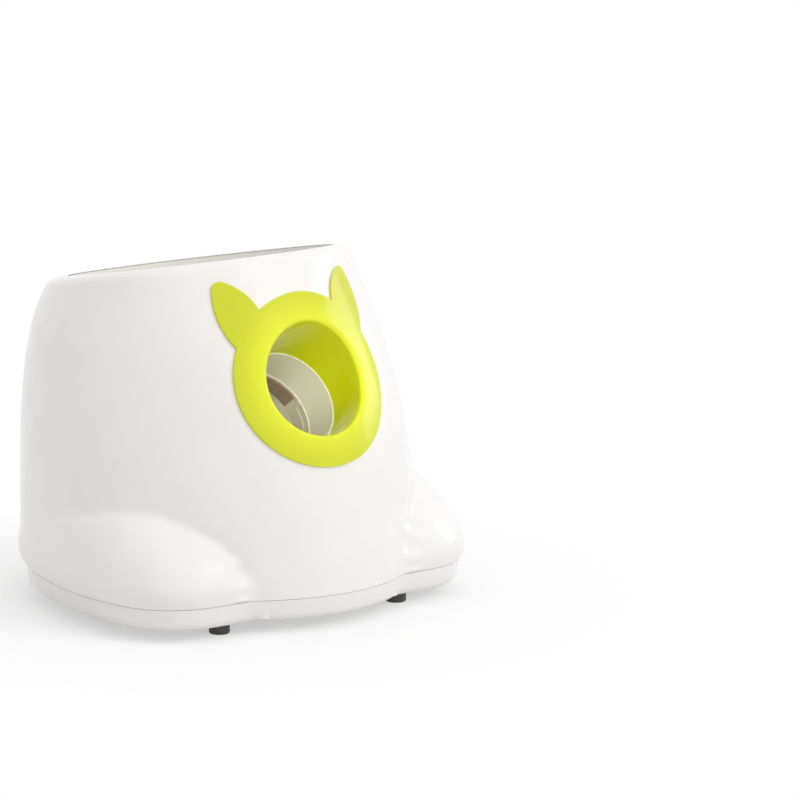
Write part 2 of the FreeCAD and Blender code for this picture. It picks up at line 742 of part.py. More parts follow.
def make_base_tray():
    """The pan with its band, locating tongue, posts, battery openings and boss feet."""
    steps = (0.0, 0.3, 0.55, 0.78, 0.93, 1.0)
    heights = [-BAND_HEIGHT + BAND_EDGE_RADIUS * (1 - step) for step in reversed(steps)]
    rings = [band_ring(height, -SEAM_GAP / 2) for height in heights]
    band = lofted([rings[-1], band_ring(-SEAM_GAP, -SEAM_GAP / 2)])
    tongue_out = -SHELL_WALL - SEAM_GAP - FRONT_LEAN * TONGUE_HEIGHT
    tongue_in = tongue_out - TONGUE_THICKNESS
    low = -SEAM_GAP - TONGUE_HEIGHT
    tongue = lofted([band_ring(low, tongue_out), band_ring(TONGUE_HEIGHT, tongue_out)])
    floor_ring = band_ring(FLOOR_TOP - SEAM, -TRAY_WALL - SEAM_GAP)
    room = lofted([floor_ring, band_ring(low, -TRAY_WALL - SEAM_GAP)])
    hollow = lofted([band_ring(low - 1.0, tongue_in), band_ring(TONGUE_HEIGHT + 1.0, tongue_in)])
    wall = lofted(rings).fuse(band).fuse(tongue).cut(room).cut(hollow)
    adds = boss_pillars(BOSS_RADIUS, FLOOR_TOP - 0.5, SEAM - SEAM_GAP)
    cuts = boss_pillars(BOSS_RADIUS + SEAM_GAP, SEAM - SEAM_GAP, SEAM + TONGUE_HEIGHT + 1.0)
    cuts += boss_pillars(SCREW_RADIUS + FIT_GAP, FOOT_HEIGHT, SEAM)
    cuts += boss_pillars(SCREW_HEAD_RADIUS + FIT_GAP, FOOT_HEIGHT - 1.0, FOOT_HEIGHT + BOSS_RECESS)
    for x, y in foot_places():
        cuts.append(cylinder_z(FOOT_PLUG_RADIUS, x, y, FOOT_HEIGHT - 1.0, FLOOR_TOP + 1.0))
    for x, y in leg_places():
        adds.append(cylinder_z(LEG_RADIUS + 1.5, x, y, FLOOR_TOP - 0.5, FLOOR_TOP + 1.0))
    for x, y in flange_screw_places():
        cuts.append(cylinder_z(SCREW_RADIUS, x, y, FLOOR_TOP - FLANGE_SCREW_BITE, FLOOR_TOP + 1.0))
    for side in (1, -1):
        x0, x1, y0, y1 = door_corners(side)
        cuts.append(box(x0, x1, y0, y1, FOOT_HEIGHT - 1.0, FLOOR_TOP + 1.0))
        cuts.append(door_plate(side, 0.0, FOOT_HEIGHT - 1.0, FOOT_HEIGHT + DOOR_THICKNESS))
        x, y = door_screw_place(side)
        adds.append(cylinder_z(DOOR_BOSS_RADIUS, x, y, FOOT_HEIGHT + DOOR_THICKNESS, FLOOR_TOP + 6.0))
        cuts.append(cylinder_z(SCREW_RADIUS, x, y, FOOT_HEIGHT, FLOOR_TOP + 5.0))
    for turn in range(6):
        x = BUZZER_PLACE[0] + 5.0 * cosd(60 * turn)
        y = BUZZER_PLACE[1] + 5.0 * sind(60 * turn)
        cuts.append(cylinder_z(1.0, x, y, FOOT_HEIGHT - 1.0, FLOOR_TOP + 1.0))
    tray = fused([wall] + adds)
    for cut in cuts:
        tray = tray.cut(cut)
    return tray


def make_feet():
    feet = []
    for x, y in foot_places():
        pad = cylinder_z(FOOT_RADIUS, x, y, 0.0, FOOT_HEIGHT)
        low = [edge for edge in pad.Edges if edge.BoundBox.ZMax < 0.01]
        pad = pad.makeFillet(1.2, low)
        feet.append(pad.fuse(cylinder_z(FOOT_PLUG_RADIUS, x, y, FOOT_HEIGHT, FLOOR_TOP + 1.5)))
    return Part.makeCompound(feet)


def make_battery_door(side):
    door = door_plate(side, DOOR_GAP, FOOT_HEIGHT, FOOT_HEIGHT + DOOR_THICKNESS - FIT_GAP)
    x, y = door_screw_place(side)
    head = cylinder_z(SCREW_HEAD_RADIUS + FIT_GAP, x, y, FOOT_HEIGHT - 1.0, FOOT_HEIGHT + DOOR_RECESS)
    shank = cylinder_z(SCREW_RADIUS + FIT_GAP, x, y, FOOT_HEIGHT, FLOOR_TOP)
    door = door.cut(head).cut(shank)
    x0, x1, y0, y1 = door_corners(side)
    middle = (x0 + x1) / 2
    for row in range(5):
        groove_y = y0 + 8.0 + 2.4 * row
        groove = box(middle - 9, middle + 9, groove_y, groove_y + 1.2, FOOT_HEIGHT - 1, FOOT_HEIGHT + 0.6)
        door = door.cut(groove)
    return door


# ---- mouth trim and liner ------------------------------------------------------------------------
def ear_outline(side):
    """One ear in the plane of the mouth, closed inside the ring."""
    tip = Vector(EAR_TIP[0], EAR_TIP[1], 0)
    outer_root = Vector(EAR_OUTER_ROOT[0], EAR_OUTER_ROOT[1], 0)
    inner_root = Vector(EAR_INNER_ROOT[0], EAR_INNER_ROOT[1], 0)
    tip_out = tip + Vector(EAR_TIP_RADIUS * 0.75, -EAR_TIP_RADIUS * 0.75, 0)
    tip_in = tip + Vector(-EAR_TIP_RADIUS * 1.05, -EAR_TIP_RADIUS * 0.25, 0)

    def flat(point):
        return mouth_point(side * point.x, point.y)

    outer = Part.Arc(flat(outer_root), flat(Vector(*EAR_OUTER_BULGE, 0)), flat(tip_out))
    nose = Part.Arc(flat(tip_out), flat(tip), flat(tip_in))
    inner = Part.Arc(flat(tip_in), flat(Vector(*EAR_INNER_BULGE, 0)), flat(inner_root))
    back = Part.LineSegment(flat(inner_root), flat(Vector(EAR_INNER_ROOT[0], EAR_OUTER_ROOT[1], 0)))
    foot = Part.LineSegment(flat(Vector(EAR_INNER_ROOT[0], EAR_OUTER_ROOT[1], 0)), flat(outer_root))
    return Part.Wire([curve.toShape() for curve in (outer, nose, inner, back, foot)])


def make_mouth_trim(outer, proud_form):
    """Ring, ears and front tube in one moulding; the plate lies on the bell's own curve."""
    reach = 45.0
    ring = Part.makeCylinder(TRIM_RADIUS, 2 * reach, mouth_point(0, 0, -reach), MOUTH_OUT)
    shapes = [ring]
    for side in (1, -1):
        ear = Part.Face(ear_outline(side))
        ear.translate(MOUTH_OUT * -reach)
        shapes.append(ear.extrude(MOUTH_OUT * (2 * reach)))
    trim = joined(shapes).common(proud_form).cut(outer.cut(trim_tube(0.0)))
    trim = max(trim.Solids, key=lambda solid: solid.Volume)
    trim = trim.cut(mouth_cone(MOUTH_BORE, TRIM_TUBE_BORE))
    return trim.makeFillet(MOUTH_ROUNDING, mouth_edges(trim))


def mouth_edges(trim):
    """The edges where the bore comes out through the trim's face."""
    edges = []
    for edge in trim.Edges:
        middle = edge.valueAt((edge.FirstParameter + edge.LastParameter) / 2)
        along = (middle - MOUTH).dot(TUBE_IN)
        away = (middle - MOUTH - TUBE_IN * along).Length
        if abs(away - MOUTH_BORE) < TRIM_TUBE_WALL / 2 and along < TRIM_TUBE_LENGTH / 2:
            edges.append(edge)
    return edges


def make_mouth_liner():
    outer_radius = LINER_BORE + LINER_WALL
    socket_bore = TRIM_TUBE_BORE + TRIM_TUBE_WALL + FIT_GAP
    front = TRIM_TUBE_LENGTH + FIT_GAP
    socket_start = TRIM_TUBE_LENGTH - LINER_SOCKET_OVERLAP
    tube = tube_cylinder(outer_radius, front, LINER_END)
    socket = tube_cylinder(socket_bore + LINER_WALL, socket_start, front + LINER_WALL)
    body = tube.fuse(socket)
    body = body.cut(tube_cylinder(LINER_BORE, socket_start - 1, LINER_END + 1))
    return body.cut(trim_socket_cut(socket_start, front))


def trim_socket_cut(start, end):
    """Room for the trim's tube, which widens towards the mouth."""
    slope = (MOUTH_BORE - TRIM_TUBE_BORE) / TRIM_TUBE_LENGTH
    end_radius = TRIM_TUBE_BORE + TRIM_TUBE_WALL + FIT_GAP
    start_radius = end_radius + SOCKET_FLARE * slope * (end - start) + FIT_GAP
    return Part.makeCone(start_radius, end_radius, end - start, tube_point(start), TUBE_IN)


def make_gasket():
    ring = tube_cylinder(LINER_BORE + LINER_WALL, LINER_END, CRADLE_START)
    return ring.cut(tube_cylinder(LINER_BORE - 0.6, LINER_END - 1, CRADLE_START + 1))


# ---- ball cradle ---------------------------------------------------------------------------------
def leg_places():
    places = []
    for x in (-1, 1):
        places.append((x * FRONT_LEG[0], FRONT_LEG[1]))
        places.append((x * REAR_LEG[0], REAR_LEG[1]))
    return places


def make_cradle():
    outer_radius = CRADLE_BORE + CRADLE_WALL
    end = CRADLE_END + CRADLE_REAR_WALL
    pipe = tube_cylinder(outer_radius, CRADLE_START, end)
    socket_bore = LINER_BORE + LINER_WALL + FIT_GAP
    socket = tube_cylinder(socket_bore + CRADLE_WALL, CRADLE_START - CRADLE_SOCKET_LENGTH, CRADLE_START + 2)
    chute_radius = CHUTE_BORE + SPIGOT_WALL + FIT_GAP + CHUTE_WALL
    seat = tube_point(HAMMER_FOOT_DEPTH)
    chute = cylinder_z(chute_radius, 0, CHUTE_Y, seat.z, CHUTE_TOP)
    floor_side = [tube_point(0), tube_point(0, -200), tube_point(300, -200), tube_point(300)]
    below_axis = prism([corner - X_AXIS * 100 for corner in floor_side], X_AXIS * 200)
    pieces = [pipe, socket, chute.cut(below_axis)]
    foot_z = FLOOR_TOP + 1.0
    for x, y in leg_places():
        leg_top = MOUTH_HEIGHT - (y - MOUTH.y) * math.tan(math.radians(TUBE_TILT)) - FRONT_LEG_DROP
        if y > 0:
            leg_top += FRONT_LEG_DROP + REAR_LEG_RISE
        pieces.append(cylinder_z(LEG_RADIUS, x, y, foot_z, leg_top))
    rear_top = tube_point(end, 26.0)
    for side in (1, -1):
        x0, x1 = sorted((side * (SLOT_HALF_WIDTH + 0.5), side * (REAR_LEG[0] + LEG_RADIUS)))
        pieces.append(box(x0, x1, rear_top.y - 8.0, REAR_LEG[1], rear_top.z - 16.0, rear_top.z - 6.0))
    body = joined(pieces)
    body = body.cut(tube_cylinder(CRADLE_BORE, CRADLE_START - 10, CRADLE_END))
    body = body.cut(tube_cylinder(socket_bore, CRADLE_START - CRADLE_SOCKET_LENGTH - 1, CRADLE_START))
    body = body.cut(cylinder_z(CHUTE_BORE, 0, CHUTE_Y, seat.z + 5.0, CHUTE_TOP + 1))
    spigot_room = CHUTE_BORE + SPIGOT_WALL + FIT_GAP
    body = body.cut(cylinder_z(spigot_room, 0, CHUTE_Y, CHUTE_TOP - SPIGOT_DEPTH, CHUTE_TOP + 1))
    body = body.cut(slot_solid()).fuse(make_bumper_bracket(outer_radius))
    for side in (1, -1):
        body = body.cut(sensor_window(side, FIT_GAP, outer_radius + 2))
    return body


def make_bumper_bracket(outer_radius):
    """The web under the pipe's front end that backs the stop bumper."""
    front = tube_point(CRADLE_START + 3.0, 1.0 - outer_radius)
    rear = tube_point(SLOT_START - 1.0, 1.0 - outer_radius)
    back = bumper_face_y() - BUMPER_SIZE[1]
    middle = bumper_middle_z()
    half = BUMPER_SIZE[2] / 2
    outline = [(front.y, front.z), (rear.y, rear.z), (back, middle + half), (back, middle - half),
               (back - BUMPER_SIZE[1] / 2, middle - half)]
    return plate_x(outline, -BUMPER_SIZE[0] / 2, BUMPER_SIZE[0] / 2)


def slot_solid():
    """The path that the hammer takes through the cradle's underside and rear wall."""
    corners = [tube_point(SLOT_START, -60, -SLOT_HALF_WIDTH),
               tube_point(SLOT_START, -CRADLE_BORE / 2, -SLOT_HALF_WIDTH),
               tube_point(CRADLE_END - 4, -CRADLE_BORE / 2, -SLOT_HALF_WIDTH),
               tube_point(CRADLE_END - 4, SLOT_TOP, -SLOT_HALF_WIDTH),
               tube_point(CRADLE_END + 30, SLOT_TOP, -SLOT_HALF_WIDTH),
               tube_point(CRADLE_END + 30, -60, -SLOT_HALF_WIDTH)]
    return prism(corners, X_AXIS * (2 * SLOT_HALF_WIDTH))


def sensor_window(side, gap, reach):
    """A rounded bar that lies across the cradle wall, as tall as the window is long."""
    half_long = WINDOW_LENGTH / 2 + gap
    half_wide = WINDOW_WIDTH / 2 + gap
    start = CRADLE_BORE - 2.2 if gap == 0 else CRADLE_BORE - 6.0
    middle = tube_point(WINDOW_DEPTH + WINDOW_WIDTH / 2)
    corners = []
    for along, up in ((-1, -1), (1, -1), (1, 1), (-1, 1)):
        corners.append(middle + TUBE_IN * (along * half_wide) + TUBE_UP * (up * half_long)
                       + X_AXIS * (side * start))
    bar = prism(corners, X_AXIS * (side * (reach - start)))
    edges = []
    for edge in bar.Edges:
        if abs(edge.tangentAt(edge.FirstParameter).x) > 0.99:
            edges.append(edge)
    return bar.makeFillet(2.2, edges)


def make_ball_sensors():
    """Infra-red emitter and receiver, one each side, each with its window in the cradle wall."""
    sensors = []
    face = CRADLE_BORE + CRADLE_WALL + FIT_GAP
    middle = tube_point(WINDOW_DEPTH + WINDOW_WIDTH / 2)
    for side in (1, -1):
        window = sensor_window(side, 0.0, face + 0.5)
        window = window.cut(tube_cylinder(CRADLE_BORE - 0.5, 0, CRADLE_END))
        half = SENSOR_SIZE / 2
        corners = []
        for along, up in ((-1, -1), (1, -1), (1, 1), (-1, 1)):
            corners.append(middle + TUBE_IN * (along * half) + TUBE_UP * (up * half)
                           + X_AXIS * (side * face))
        block = prism(corners, X_AXIS * (side * SENSOR_REACH))
        socket = tube_cylinder(CRADLE_BORE + CRADLE_WALL + FIT_GAP, 0, CRADLE_END)
        sensors.append(window.fuse(block.cut(socket)))
    return Part.makeCompound(sensors)


def make_felt_pads():
    """Two felt strips glued inside the cradle above the windows."""
    pads = []
    ring = tube_cylinder(CRADLE_BORE, CRADLE_START + 0.5, CRADLE_START + 0.5 + FELT_LENGTH)
    ring = ring.cut(tube_cylinder(CRADLE_BORE - FELT_THICKNESS, CRADLE_START - 1, CRADLE_END))
    for side in (1, -1):
        corners = [tube_point(CRADLE_START - 2), tube_point(CRADLE_START - 2, 40, side * 6),
                   tube_point(CRADLE_START - 2, 40, side * 60), tube_point(CRADLE_START - 2, 24.0,
                                                                           side * 60)]
        pads.append(ring.common(prism(corners, TUBE_IN * 20)))
    return Part.makeCompound(pads)


# ---- hopper bowl ---------------------------------------------------------------------------------
def bowl_form(wall, collar_drop):
    """The solid inside the bowl, from the rim's opening down to the chute's hole."""
    top = rim_ring(collar_drop, -RIM_WIDTH - BOWL_GAP - wall)
    rings = []
    hole = CHUTE_BORE + BOWL_WALL + BOWL_STEP - wall
    floor = BOWL_FLOOR - BOWL_WALL + wall
    for turn in (90.0, 80.0, 68.0, 55.0, 42.0, 28.0, 14.0, 0.0):
        wide = cosd(turn)
        deep = 0.9 * sind(turn) + 0.1 * turn / 90.0
        ring = []
        for angle, start in zip(ring_angles(), top):
            end = Vector(hole * sind(angle), CHUTE_Y - hole * cosd(angle), floor)
            ring.append(Vector(end.x + (start.x - end.x) * wide, end.y + (start.y - end.y) * wide,
                               start.z + (end.z - start.z) * deep))
        rings.append(ring)
    return lofted(rings)


def make_hopper_bowl():
    inside = bowl_form(BOWL_WALL, 0.6)
    outside = bowl_form(0.0, 0.6)
    flange_top = RIM_PLATE + BOWL_GAP
    flange = rim_plug(-SHELL_WALL - BOWL_FLANGE_WIDTH / 2, flange_top, flange_top + BOWL_FLANGE_THICKNESS)
    spigot_radius = CHUTE_BORE + SPIGOT_WALL
    spigot = cylinder_z(spigot_radius, 0, CHUTE_Y, CHUTE_TOP - SPIGOT_DEPTH + BOWL_GAP, BOWL_FLOOR)
    shoulder = cylinder_z(CHUTE_BORE + BOWL_WALL, 0, CHUTE_Y, CHUTE_TOP + BOWL_GAP, BOWL_FLOOR)
    bowl = fused([outside, flange, spigot, shoulder])
    bowl = bowl.cut(inside)
    return bowl.cut(cylinder_z(CHUTE_BORE, 0, CHUTE_Y, CHUTE_TOP - 20, BOWL_FLOOR + 5))


# ---- hammer --------------------------------------------------------------------------------------
def involute(angle):
    return math.tan(angle) - angle


def gear_face_points(module, teeth, phase):
    """Corners of a spur gear about the origin; one tooth is centred at phase."""
    pitch = module * teeth / 2.0
    base = pitch * cosd(PRESSURE_ANGLE)
    tip = pitch + ADDENDUM * module
    root = pitch - DEDENDUM * module
    half_tooth = math.pi / (2 * teeth) - BACKLASH * module / pitch / 2
    at_pitch = involute(math.radians(PRESSURE_ANGLE))
    start = max(base, root)
    flank = []
    for share in (0.0, 0.3, 0.65, 1.0):
        radius = start + (tip - start) * share
        slope = math.acos(min(1.0, base / radius))
        flank.append((radius, half_tooth + at_pitch - involute(slope)))
    if root < base:
        flank.insert(0, (root, flank[0][1]))
    points = []
    for tooth in range(teeth):
        centre = math.radians(phase) + 2 * math.pi * tooth / teeth
        for radius, half in flank:
            points.append((radius * math.cos(centre - half), radius * math.sin(centre - half)))
        for radius, half in reversed(flank):
            points.append((radius * math.cos(centre + half), radius * math.sin(centre + half)))
    return points


def spur(module, teeth, phase, centre, x0, x1):
    corners = []
    for y, z in gear_face_points(module, teeth, phase):
        corners.append(Vector(x0, centre.y + y, centre.z + z))
    return prism(corners, Vector(x1 - x0, 0, 0))


def wedge(centre, reach, start, end, x0, x1):
    """A pie slice between two angles, as a polygon on arcs of 15 degrees or less."""
    parts = max(2, math.ceil((end - start) / 15.0))
    corners = [Vector(x0, centre.y, centre.z)]
    for k in range(parts + 1):
        angle = start + (end - start) * k / parts
        corners.append(Vector(x0, centre.y + reach * cosd(angle), centre.z + reach * sind(angle)))
    return prism(corners, Vector(x1 - x0, 0, 0))


def make_hammer_arm():
    """Hub, toothed sector, blade and paddle; at rest the arm lies level, pointing rearwards."""
    hub_end = SECTOR_X + SECTOR_WIDTH
    hub = cylinder_x(HAMMER_HUB_RADIUS, HAMMER_HUB_START, hub_end, PIVOT)
    half = HAMMER_BLADE_WIDTH / 2
    end_y = PIVOT.y + HAMMER_LENGTH + PADDLE_HALF_LENGTH
    blade_half = HAMMER_BLADE_THICKNESS / 2
    thin = PADDLE_THICKNESS / 2
    paddle_start = PIVOT.y + HAMMER_LENGTH - PADDLE_HALF_LENGTH
    blade = plate_x([(PIVOT.y, PIVOT.z - blade_half), (paddle_start + 0.5, PIVOT.z - thin),
                     (paddle_start + 0.5, PIVOT.z + thin), (PIVOT.y, PIVOT.z + blade_half)], -half, half)
    paddle = box(-PADDLE_HALF_WIDTH, PADDLE_HALF_WIDTH, paddle_start, end_y, PIVOT.z - thin, PIVOT.z + thin)
    edges = [e for e in paddle.Edges if abs(e.tangentAt(e.FirstParameter).z) > 0.99]
    paddle = paddle.makeFillet(5.0, edges)
    teeth = spur(SECTOR_MODULE, SECTOR_TEETH, DRIVE_DIRECTION, PIVOT, SECTOR_X, hub_end)
    arc = wedge(PIVOT, SECTOR_TEETH, DRIVE_DIRECTION - HAMMER_STROKE - SECTOR_MARGIN,
                DRIVE_DIRECTION + SECTOR_MARGIN, SECTOR_X, hub_end)
    arm = joined([hub, blade, paddle, teeth.common(arc)])
    return arm.cut(cylinder_x(AXLE_RADIUS + RUNNING_GAP, HAMMER_HUB_START - 1, hub_end + 1, PIVOT))


def make_hammer_pad():
    """The rubber face that meets the ball."""
    start = PIVOT.y + HAMMER_LENGTH - PADDLE_HALF_LENGTH + 1.0
    end = PIVOT.y + HAMMER_LENGTH + PADDLE_HALF_LENGTH - 1.0
    low = PIVOT.z + PADDLE_THICKNESS / 2
    pad = box(-PADDLE_HALF_WIDTH + 1.0, PADDLE_HALF_WIDTH - 1.0, start, end, low, low + PAD_THICKNESS)
    edges = [e for e in pad.Edges if abs(e.tangentAt(e.FirstParameter).z) > 0.99]
    return pad.makeFillet(4.5, edges)


def bumper_face_y():
    """Where the bumper meets the upright arm at the end of its stroke."""
    along = bumper_middle_z() - PIVOT.z
    lean = along / math.tan(math.radians(HAMMER_STROKE))
    half_here = HAMMER_BLADE_THICKNESS / 2
    return PIVOT.y + lean - half_here / sind(HAMMER_STROKE) - BUMPER_SIZE[2] / 2 / math.tan(
        math.radians(HAMMER_STROKE)) - FIT_GAP


def bumper_middle_z():
    return PIVOT.z + HAMMER_HUB_RADIUS + BUMPER_SIZE[2] / 2 + 14.0


def make_stop_bumper():
    half = BUMPER_SIZE[0] / 2
    face = bumper_face_y()
    middle = bumper_middle_z()
    return box(-half, half, face - BUMPER_SIZE[1], face, middle - BUMPER_SIZE[2] / 2,
               middle + BUMPER_SIZE[2] / 2)


def make_hammer_axle():
    start = LEFT_BRACKET_X - BUSH_FLANGE - CLIP_THICKNESS - 1.0
    end = OUTER_PLATE_FACE + BUSH_FLANGE + 0.4
    axle = cylinder_x(AXLE_RADIUS, start, end, PIVOT)
    groove = cylinder_x(AXLE_RADIUS + 1, start + 1.0, start + 1.0 + CLIP_THICKNESS, PIVOT)
    return axle.cut(groove.cut(cylinder_x(AXLE_RADIUS - 0.5, start, end, PIVOT)))


def make_axle_clip():
    start = LEFT_BRACKET_X - BUSH_FLANGE - CLIP_THICKNESS
    ring = cylinder_x(AXLE_RADIUS + CLIP_RIM, start, start + CLIP_THICKNESS, PIVOT)
    ring = ring.cut(cylinder_x(AXLE_RADIUS - 0.5, start - 1, start + 2, PIVOT))
    return ring.cut(box(start - 1, start + 2, PIVOT.y - 2.2, PIVOT.y + 2.2, PIVOT.z - 10, PIVOT.z))


def make_axle_bushes():
    bushes = []
    for face, plate, way in ((LEFT_BRACKET_X, LEFT_BRACKET_X, -1), (OUTER_PLATE_FACE, OUTER_PLATE_X, 1)):
        body = cylinder_x(BUSH_RADIUS, plate, plate + PLATE_THICKNESS, PIVOT)
        x0, x1 = sorted((face, face + way * BUSH_FLANGE))
        flange = cylinder_x(BUSH_FLANGE_RADIUS, x0, x1, PIVOT)
        bushes.append(body.fuse(flange).cut(cylinder_x(AXLE_RADIUS, x0 - 5, x1 + 5, PIVOT)))
    return Part.makeCompound(bushes)


def make_hammer_spring():
    """Torsion spring round the axle: one leg under the arm, one against the floor bracket."""
    pitch = SPRING_WIRE * 1.05
    length = pitch * SPRING_TURNS
    turns = coil(SPRING_WIRE / 2, SPRING_COIL_RADIUS, pitch, length, Vector(SPRING_START, PIVOT.y, PIVOT.z),
                 X_AXIS)
    tail = Vector(SPRING_START + length, PIVOT.y, PIVOT.z - SPRING_COIL_RADIUS)
    hook_y = PIVOT.y + HAMMER_LENGTH - PADDLE_HALF_LENGTH + 5.0
    hook = Vector(tail.x, hook_y, PIVOT.z - PADDLE_THICKNESS / 2 - SPRING_WIRE / 2 - FIT_GAP)
    leg = Part.makeCylinder(SPRING_WIRE / 2, (hook - tail).Length, tail, hook - tail)
    foot = Part.makeCylinder(SPRING_WIRE / 2, SPRING_FOOT,
                             Vector(SPRING_START, PIVOT.y - SPRING_COIL_RADIUS, PIVOT.z),
                             Z_AXIS.negative())
    return fused([turns, leg, foot])


# ---- gears and plates ----------------------------------------------------------------------------
def gear_pair_phase(direction, teeth):
    """Phase of a pinion whose gap faces a tooth that points at it along direction."""
    return direction + 180.0 + 180.0 / teeth


def make_drive_gear():
    """Compound gear whose pinion has teeth on one side only, so that it lets the hammer go."""
    pinion_end = SECTOR_X + SECTOR_WIDTH
    phase = gear_pair_phase(DRIVE_DIRECTION, DRIVE_PINION_TEETH)
    pinion = spur(SECTOR_MODULE, DRIVE_PINION_TEETH, phase, DRIVE, SECTOR_X, pinion_end)
    turn = HAMMER_STROKE * SECTOR_TEETH / DRIVE_PINION_TEETH
    towards = DRIVE_DIRECTION + 180.0
    arc = wedge(DRIVE, DRIVE_PINION_TEETH, towards - SECTOR_MARGIN, towards + turn + SECTOR_MARGIN,
                SECTOR_X, pinion_end)
    root = SECTOR_MODULE * (DRIVE_PINION_TEETH / 2.0 - DEDENDUM)
    core = cylinder_x(root, SECTOR_X, pinion_end, DRIVE)
    sleeve = cylinder_x(root - 1.2, pinion_end, DRIVE_WHEEL_X, DRIVE)
    wheel = spur(DRIVE_MODULE, DRIVE_WHEEL_TEETH, SECOND_DIRECTION, DRIVE, DRIVE_WHEEL_X,
                 DRIVE_WHEEL_X + WHEEL_WIDTH)
    gear = joined([pinion.common(arc), core, sleeve, wheel])
    gear = gear.cut(cylinder_x(DRIVE_SHAFT_RADIUS + RUNNING_GAP, SECTOR_X - 1, DRIVE_WHEEL_X + 10, DRIVE))
    for k in range(5):
        hole = step_from(DRIVE, root + 4.4, 72.0 * k)
        gear = gear.cut(cylinder_x(3.0, DRIVE_WHEEL_X - 1, DRIVE_WHEEL_X + 10, hole))
    return gear


def make_compound_gear(centre, pinion_module, pinion_teeth, phase, pinion_x, wheel_teeth, wheel_x, way):
    """A pinion and a wheel on one sleeve; the wheel has a tooth in the direction way."""
    pinion = spur(pinion_module, pinion_teeth, phase, centre, pinion_x, pinion_x + WHEEL_WIDTH)
    root = pinion_module * (pinion_teeth / 2.0 - DEDENDUM)
    sleeve = cylinder_x(root, pinion_x + WHEEL_WIDTH, wheel_x, centre)
    wheel = spur(FINE_MODULE, wheel_teeth, way, centre, wheel_x, wheel_x + WHEEL_WIDTH)
    gear = joined([pinion, sleeve, wheel])
    return gear.cut(cylinder_x(SMALL_SHAFT_RADIUS + RUNNING_GAP, pinion_x - 1, wheel_x + 10, centre))


SECOND_GEAR = (SECOND, DRIVE_MODULE, SECOND_PINION_TEETH,
               gear_pair_phase(SECOND_DIRECTION, SECOND_PINION_TEETH),
               DRIVE_WHEEL_X, SECOND_WHEEL_TEETH, SECOND_WHEEL_X, FIRST_DIRECTION)
FIRST_GEAR = (FIRST, FINE_MODULE, FIRST_PINION_TEETH, gear_pair_phase(FIRST_DIRECTION, FIRST_PINION_TEETH),
              SECOND_WHEEL_X, FIRST_WHEEL_TEETH, FIRST_WHEEL_X, MOTOR_DIRECTION)


def make_motor_pinion():
    phase = gear_pair_phase(MOTOR_DIRECTION, MOTOR_PINION_TEETH)
    pinion = spur(FINE_MODULE, MOTOR_PINION_TEETH, phase, MOTOR, FIRST_WHEEL_X, FIRST_WHEEL_X + WHEEL_WIDTH)
    return pinion.cut(cylinder_x(MOTOR_SHAFT_RADIUS, FIRST_WHEEL_X - 1, FIRST_WHEEL_X + 10, MOTOR))


def make_motor_shaft():
    return cylinder_x(MOTOR_SHAFT_RADIUS, FIRST_WHEEL_X - 0.5, OUTER_PLATE_FACE + 4.0, MOTOR)


def make_motor():
    start = OUTER_PLATE_FACE
    can = cylinder_x(MOTOR_RADIUS, start, start + MOTOR_LENGTH - MOTOR_END_CAP, MOTOR)
    edges = [e for e in can.Edges if e.BoundBox.XMax < start + 0.01]
    can = can.makeFillet(1.5, edges)
    boss = cylinder_x(MOTOR_BOSS_RADIUS, start - PLATE_THICKNESS, start, MOTOR)
    cap = cylinder_x(MOTOR_RADIUS - 1.0, start + MOTOR_LENGTH - MOTOR_END_CAP, start + MOTOR_LENGTH, MOTOR)
    thick, wide, long = MOTOR_TERMINAL
    end = start + MOTOR_LENGTH
    tags = []
    for way in (-1, 1):
        y = MOTOR.y + way * MOTOR_RADIUS * 0.6
        tags.append(box(end, end + long, y - wide / 2, y + wide / 2, MOTOR.z - thick / 2,
                        MOTOR.z + thick / 2))
    motor = joined([can, boss, cap] + tags)
    bore = MOTOR_SHAFT_RADIUS + RUNNING_GAP
    motor = motor.cut(cylinder_x(bore, start - 10, start + 4.0 + FIT_GAP, MOTOR))
    for place in motor_screw_places():
        motor = motor.cut(cylinder_x(SCREW_RADIUS, start - 5, start + 4.0, place))
    return motor


def motor_screw_places():
    return [step_from(MOTOR, MOTOR_SCREW_CIRCLE, angle) for angle in (60.0, 240.0)]


def make_motor_screws():
    screws = []
    head_x = OUTER_PLATE_X - SCREW_HEAD_HEIGHT
    for place in motor_screw_places():
        head = Vector(head_x, place.y, place.z)
        shank = cylinder_x(SCREW_RADIUS, OUTER_PLATE_X, OUTER_PLATE_FACE + 3.5, place)
        cap = cylinder_x(SCREW_HEAD_RADIUS, head.x + SCREW_HEAD_HEIGHT - 0.8, OUTER_PLATE_X, place)
        screws.append(cap.fuse(shank))
    return Part.makeCompound(screws)


def make_gear_shafts():
    """Fixed steel pins that the three compound gears turn on."""
    start = INNER_PLATE_X
    pins = [cylinder_x(DRIVE_SHAFT_RADIUS, start, OUTER_PLATE_FACE, DRIVE)]
    for centre in (SECOND, FIRST):
        pins.append(cylinder_x(SMALL_SHAFT_RADIUS, MIDDLE_PLATE_X, OUTER_PLATE_FACE, centre))
    return Part.makeCompound(pins)


def spacer_places():
    """Posts between plates, as (start plate face, centre)."""
    inner = INNER_PLATE_X + PLATE_THICKNESS
    middle = MIDDLE_PLATE_X + PLATE_THICKNESS
    low = FLOOR_TOP + SPACER_LIFT
    beyond, above = SPACER_BEYOND_FIRST
    return [(inner, Vector(0, PIVOT.y - SPACER_BEFORE_PIVOT, low)),
            (middle, Vector(0, SECOND.y - SPACER_BEFORE_SECOND, low)),
            (middle, Vector(0, MOTOR.y - SPACER_BEFORE_MOTOR, low)),
            (middle, Vector(0, FIRST.y + beyond, FIRST.z + above))]


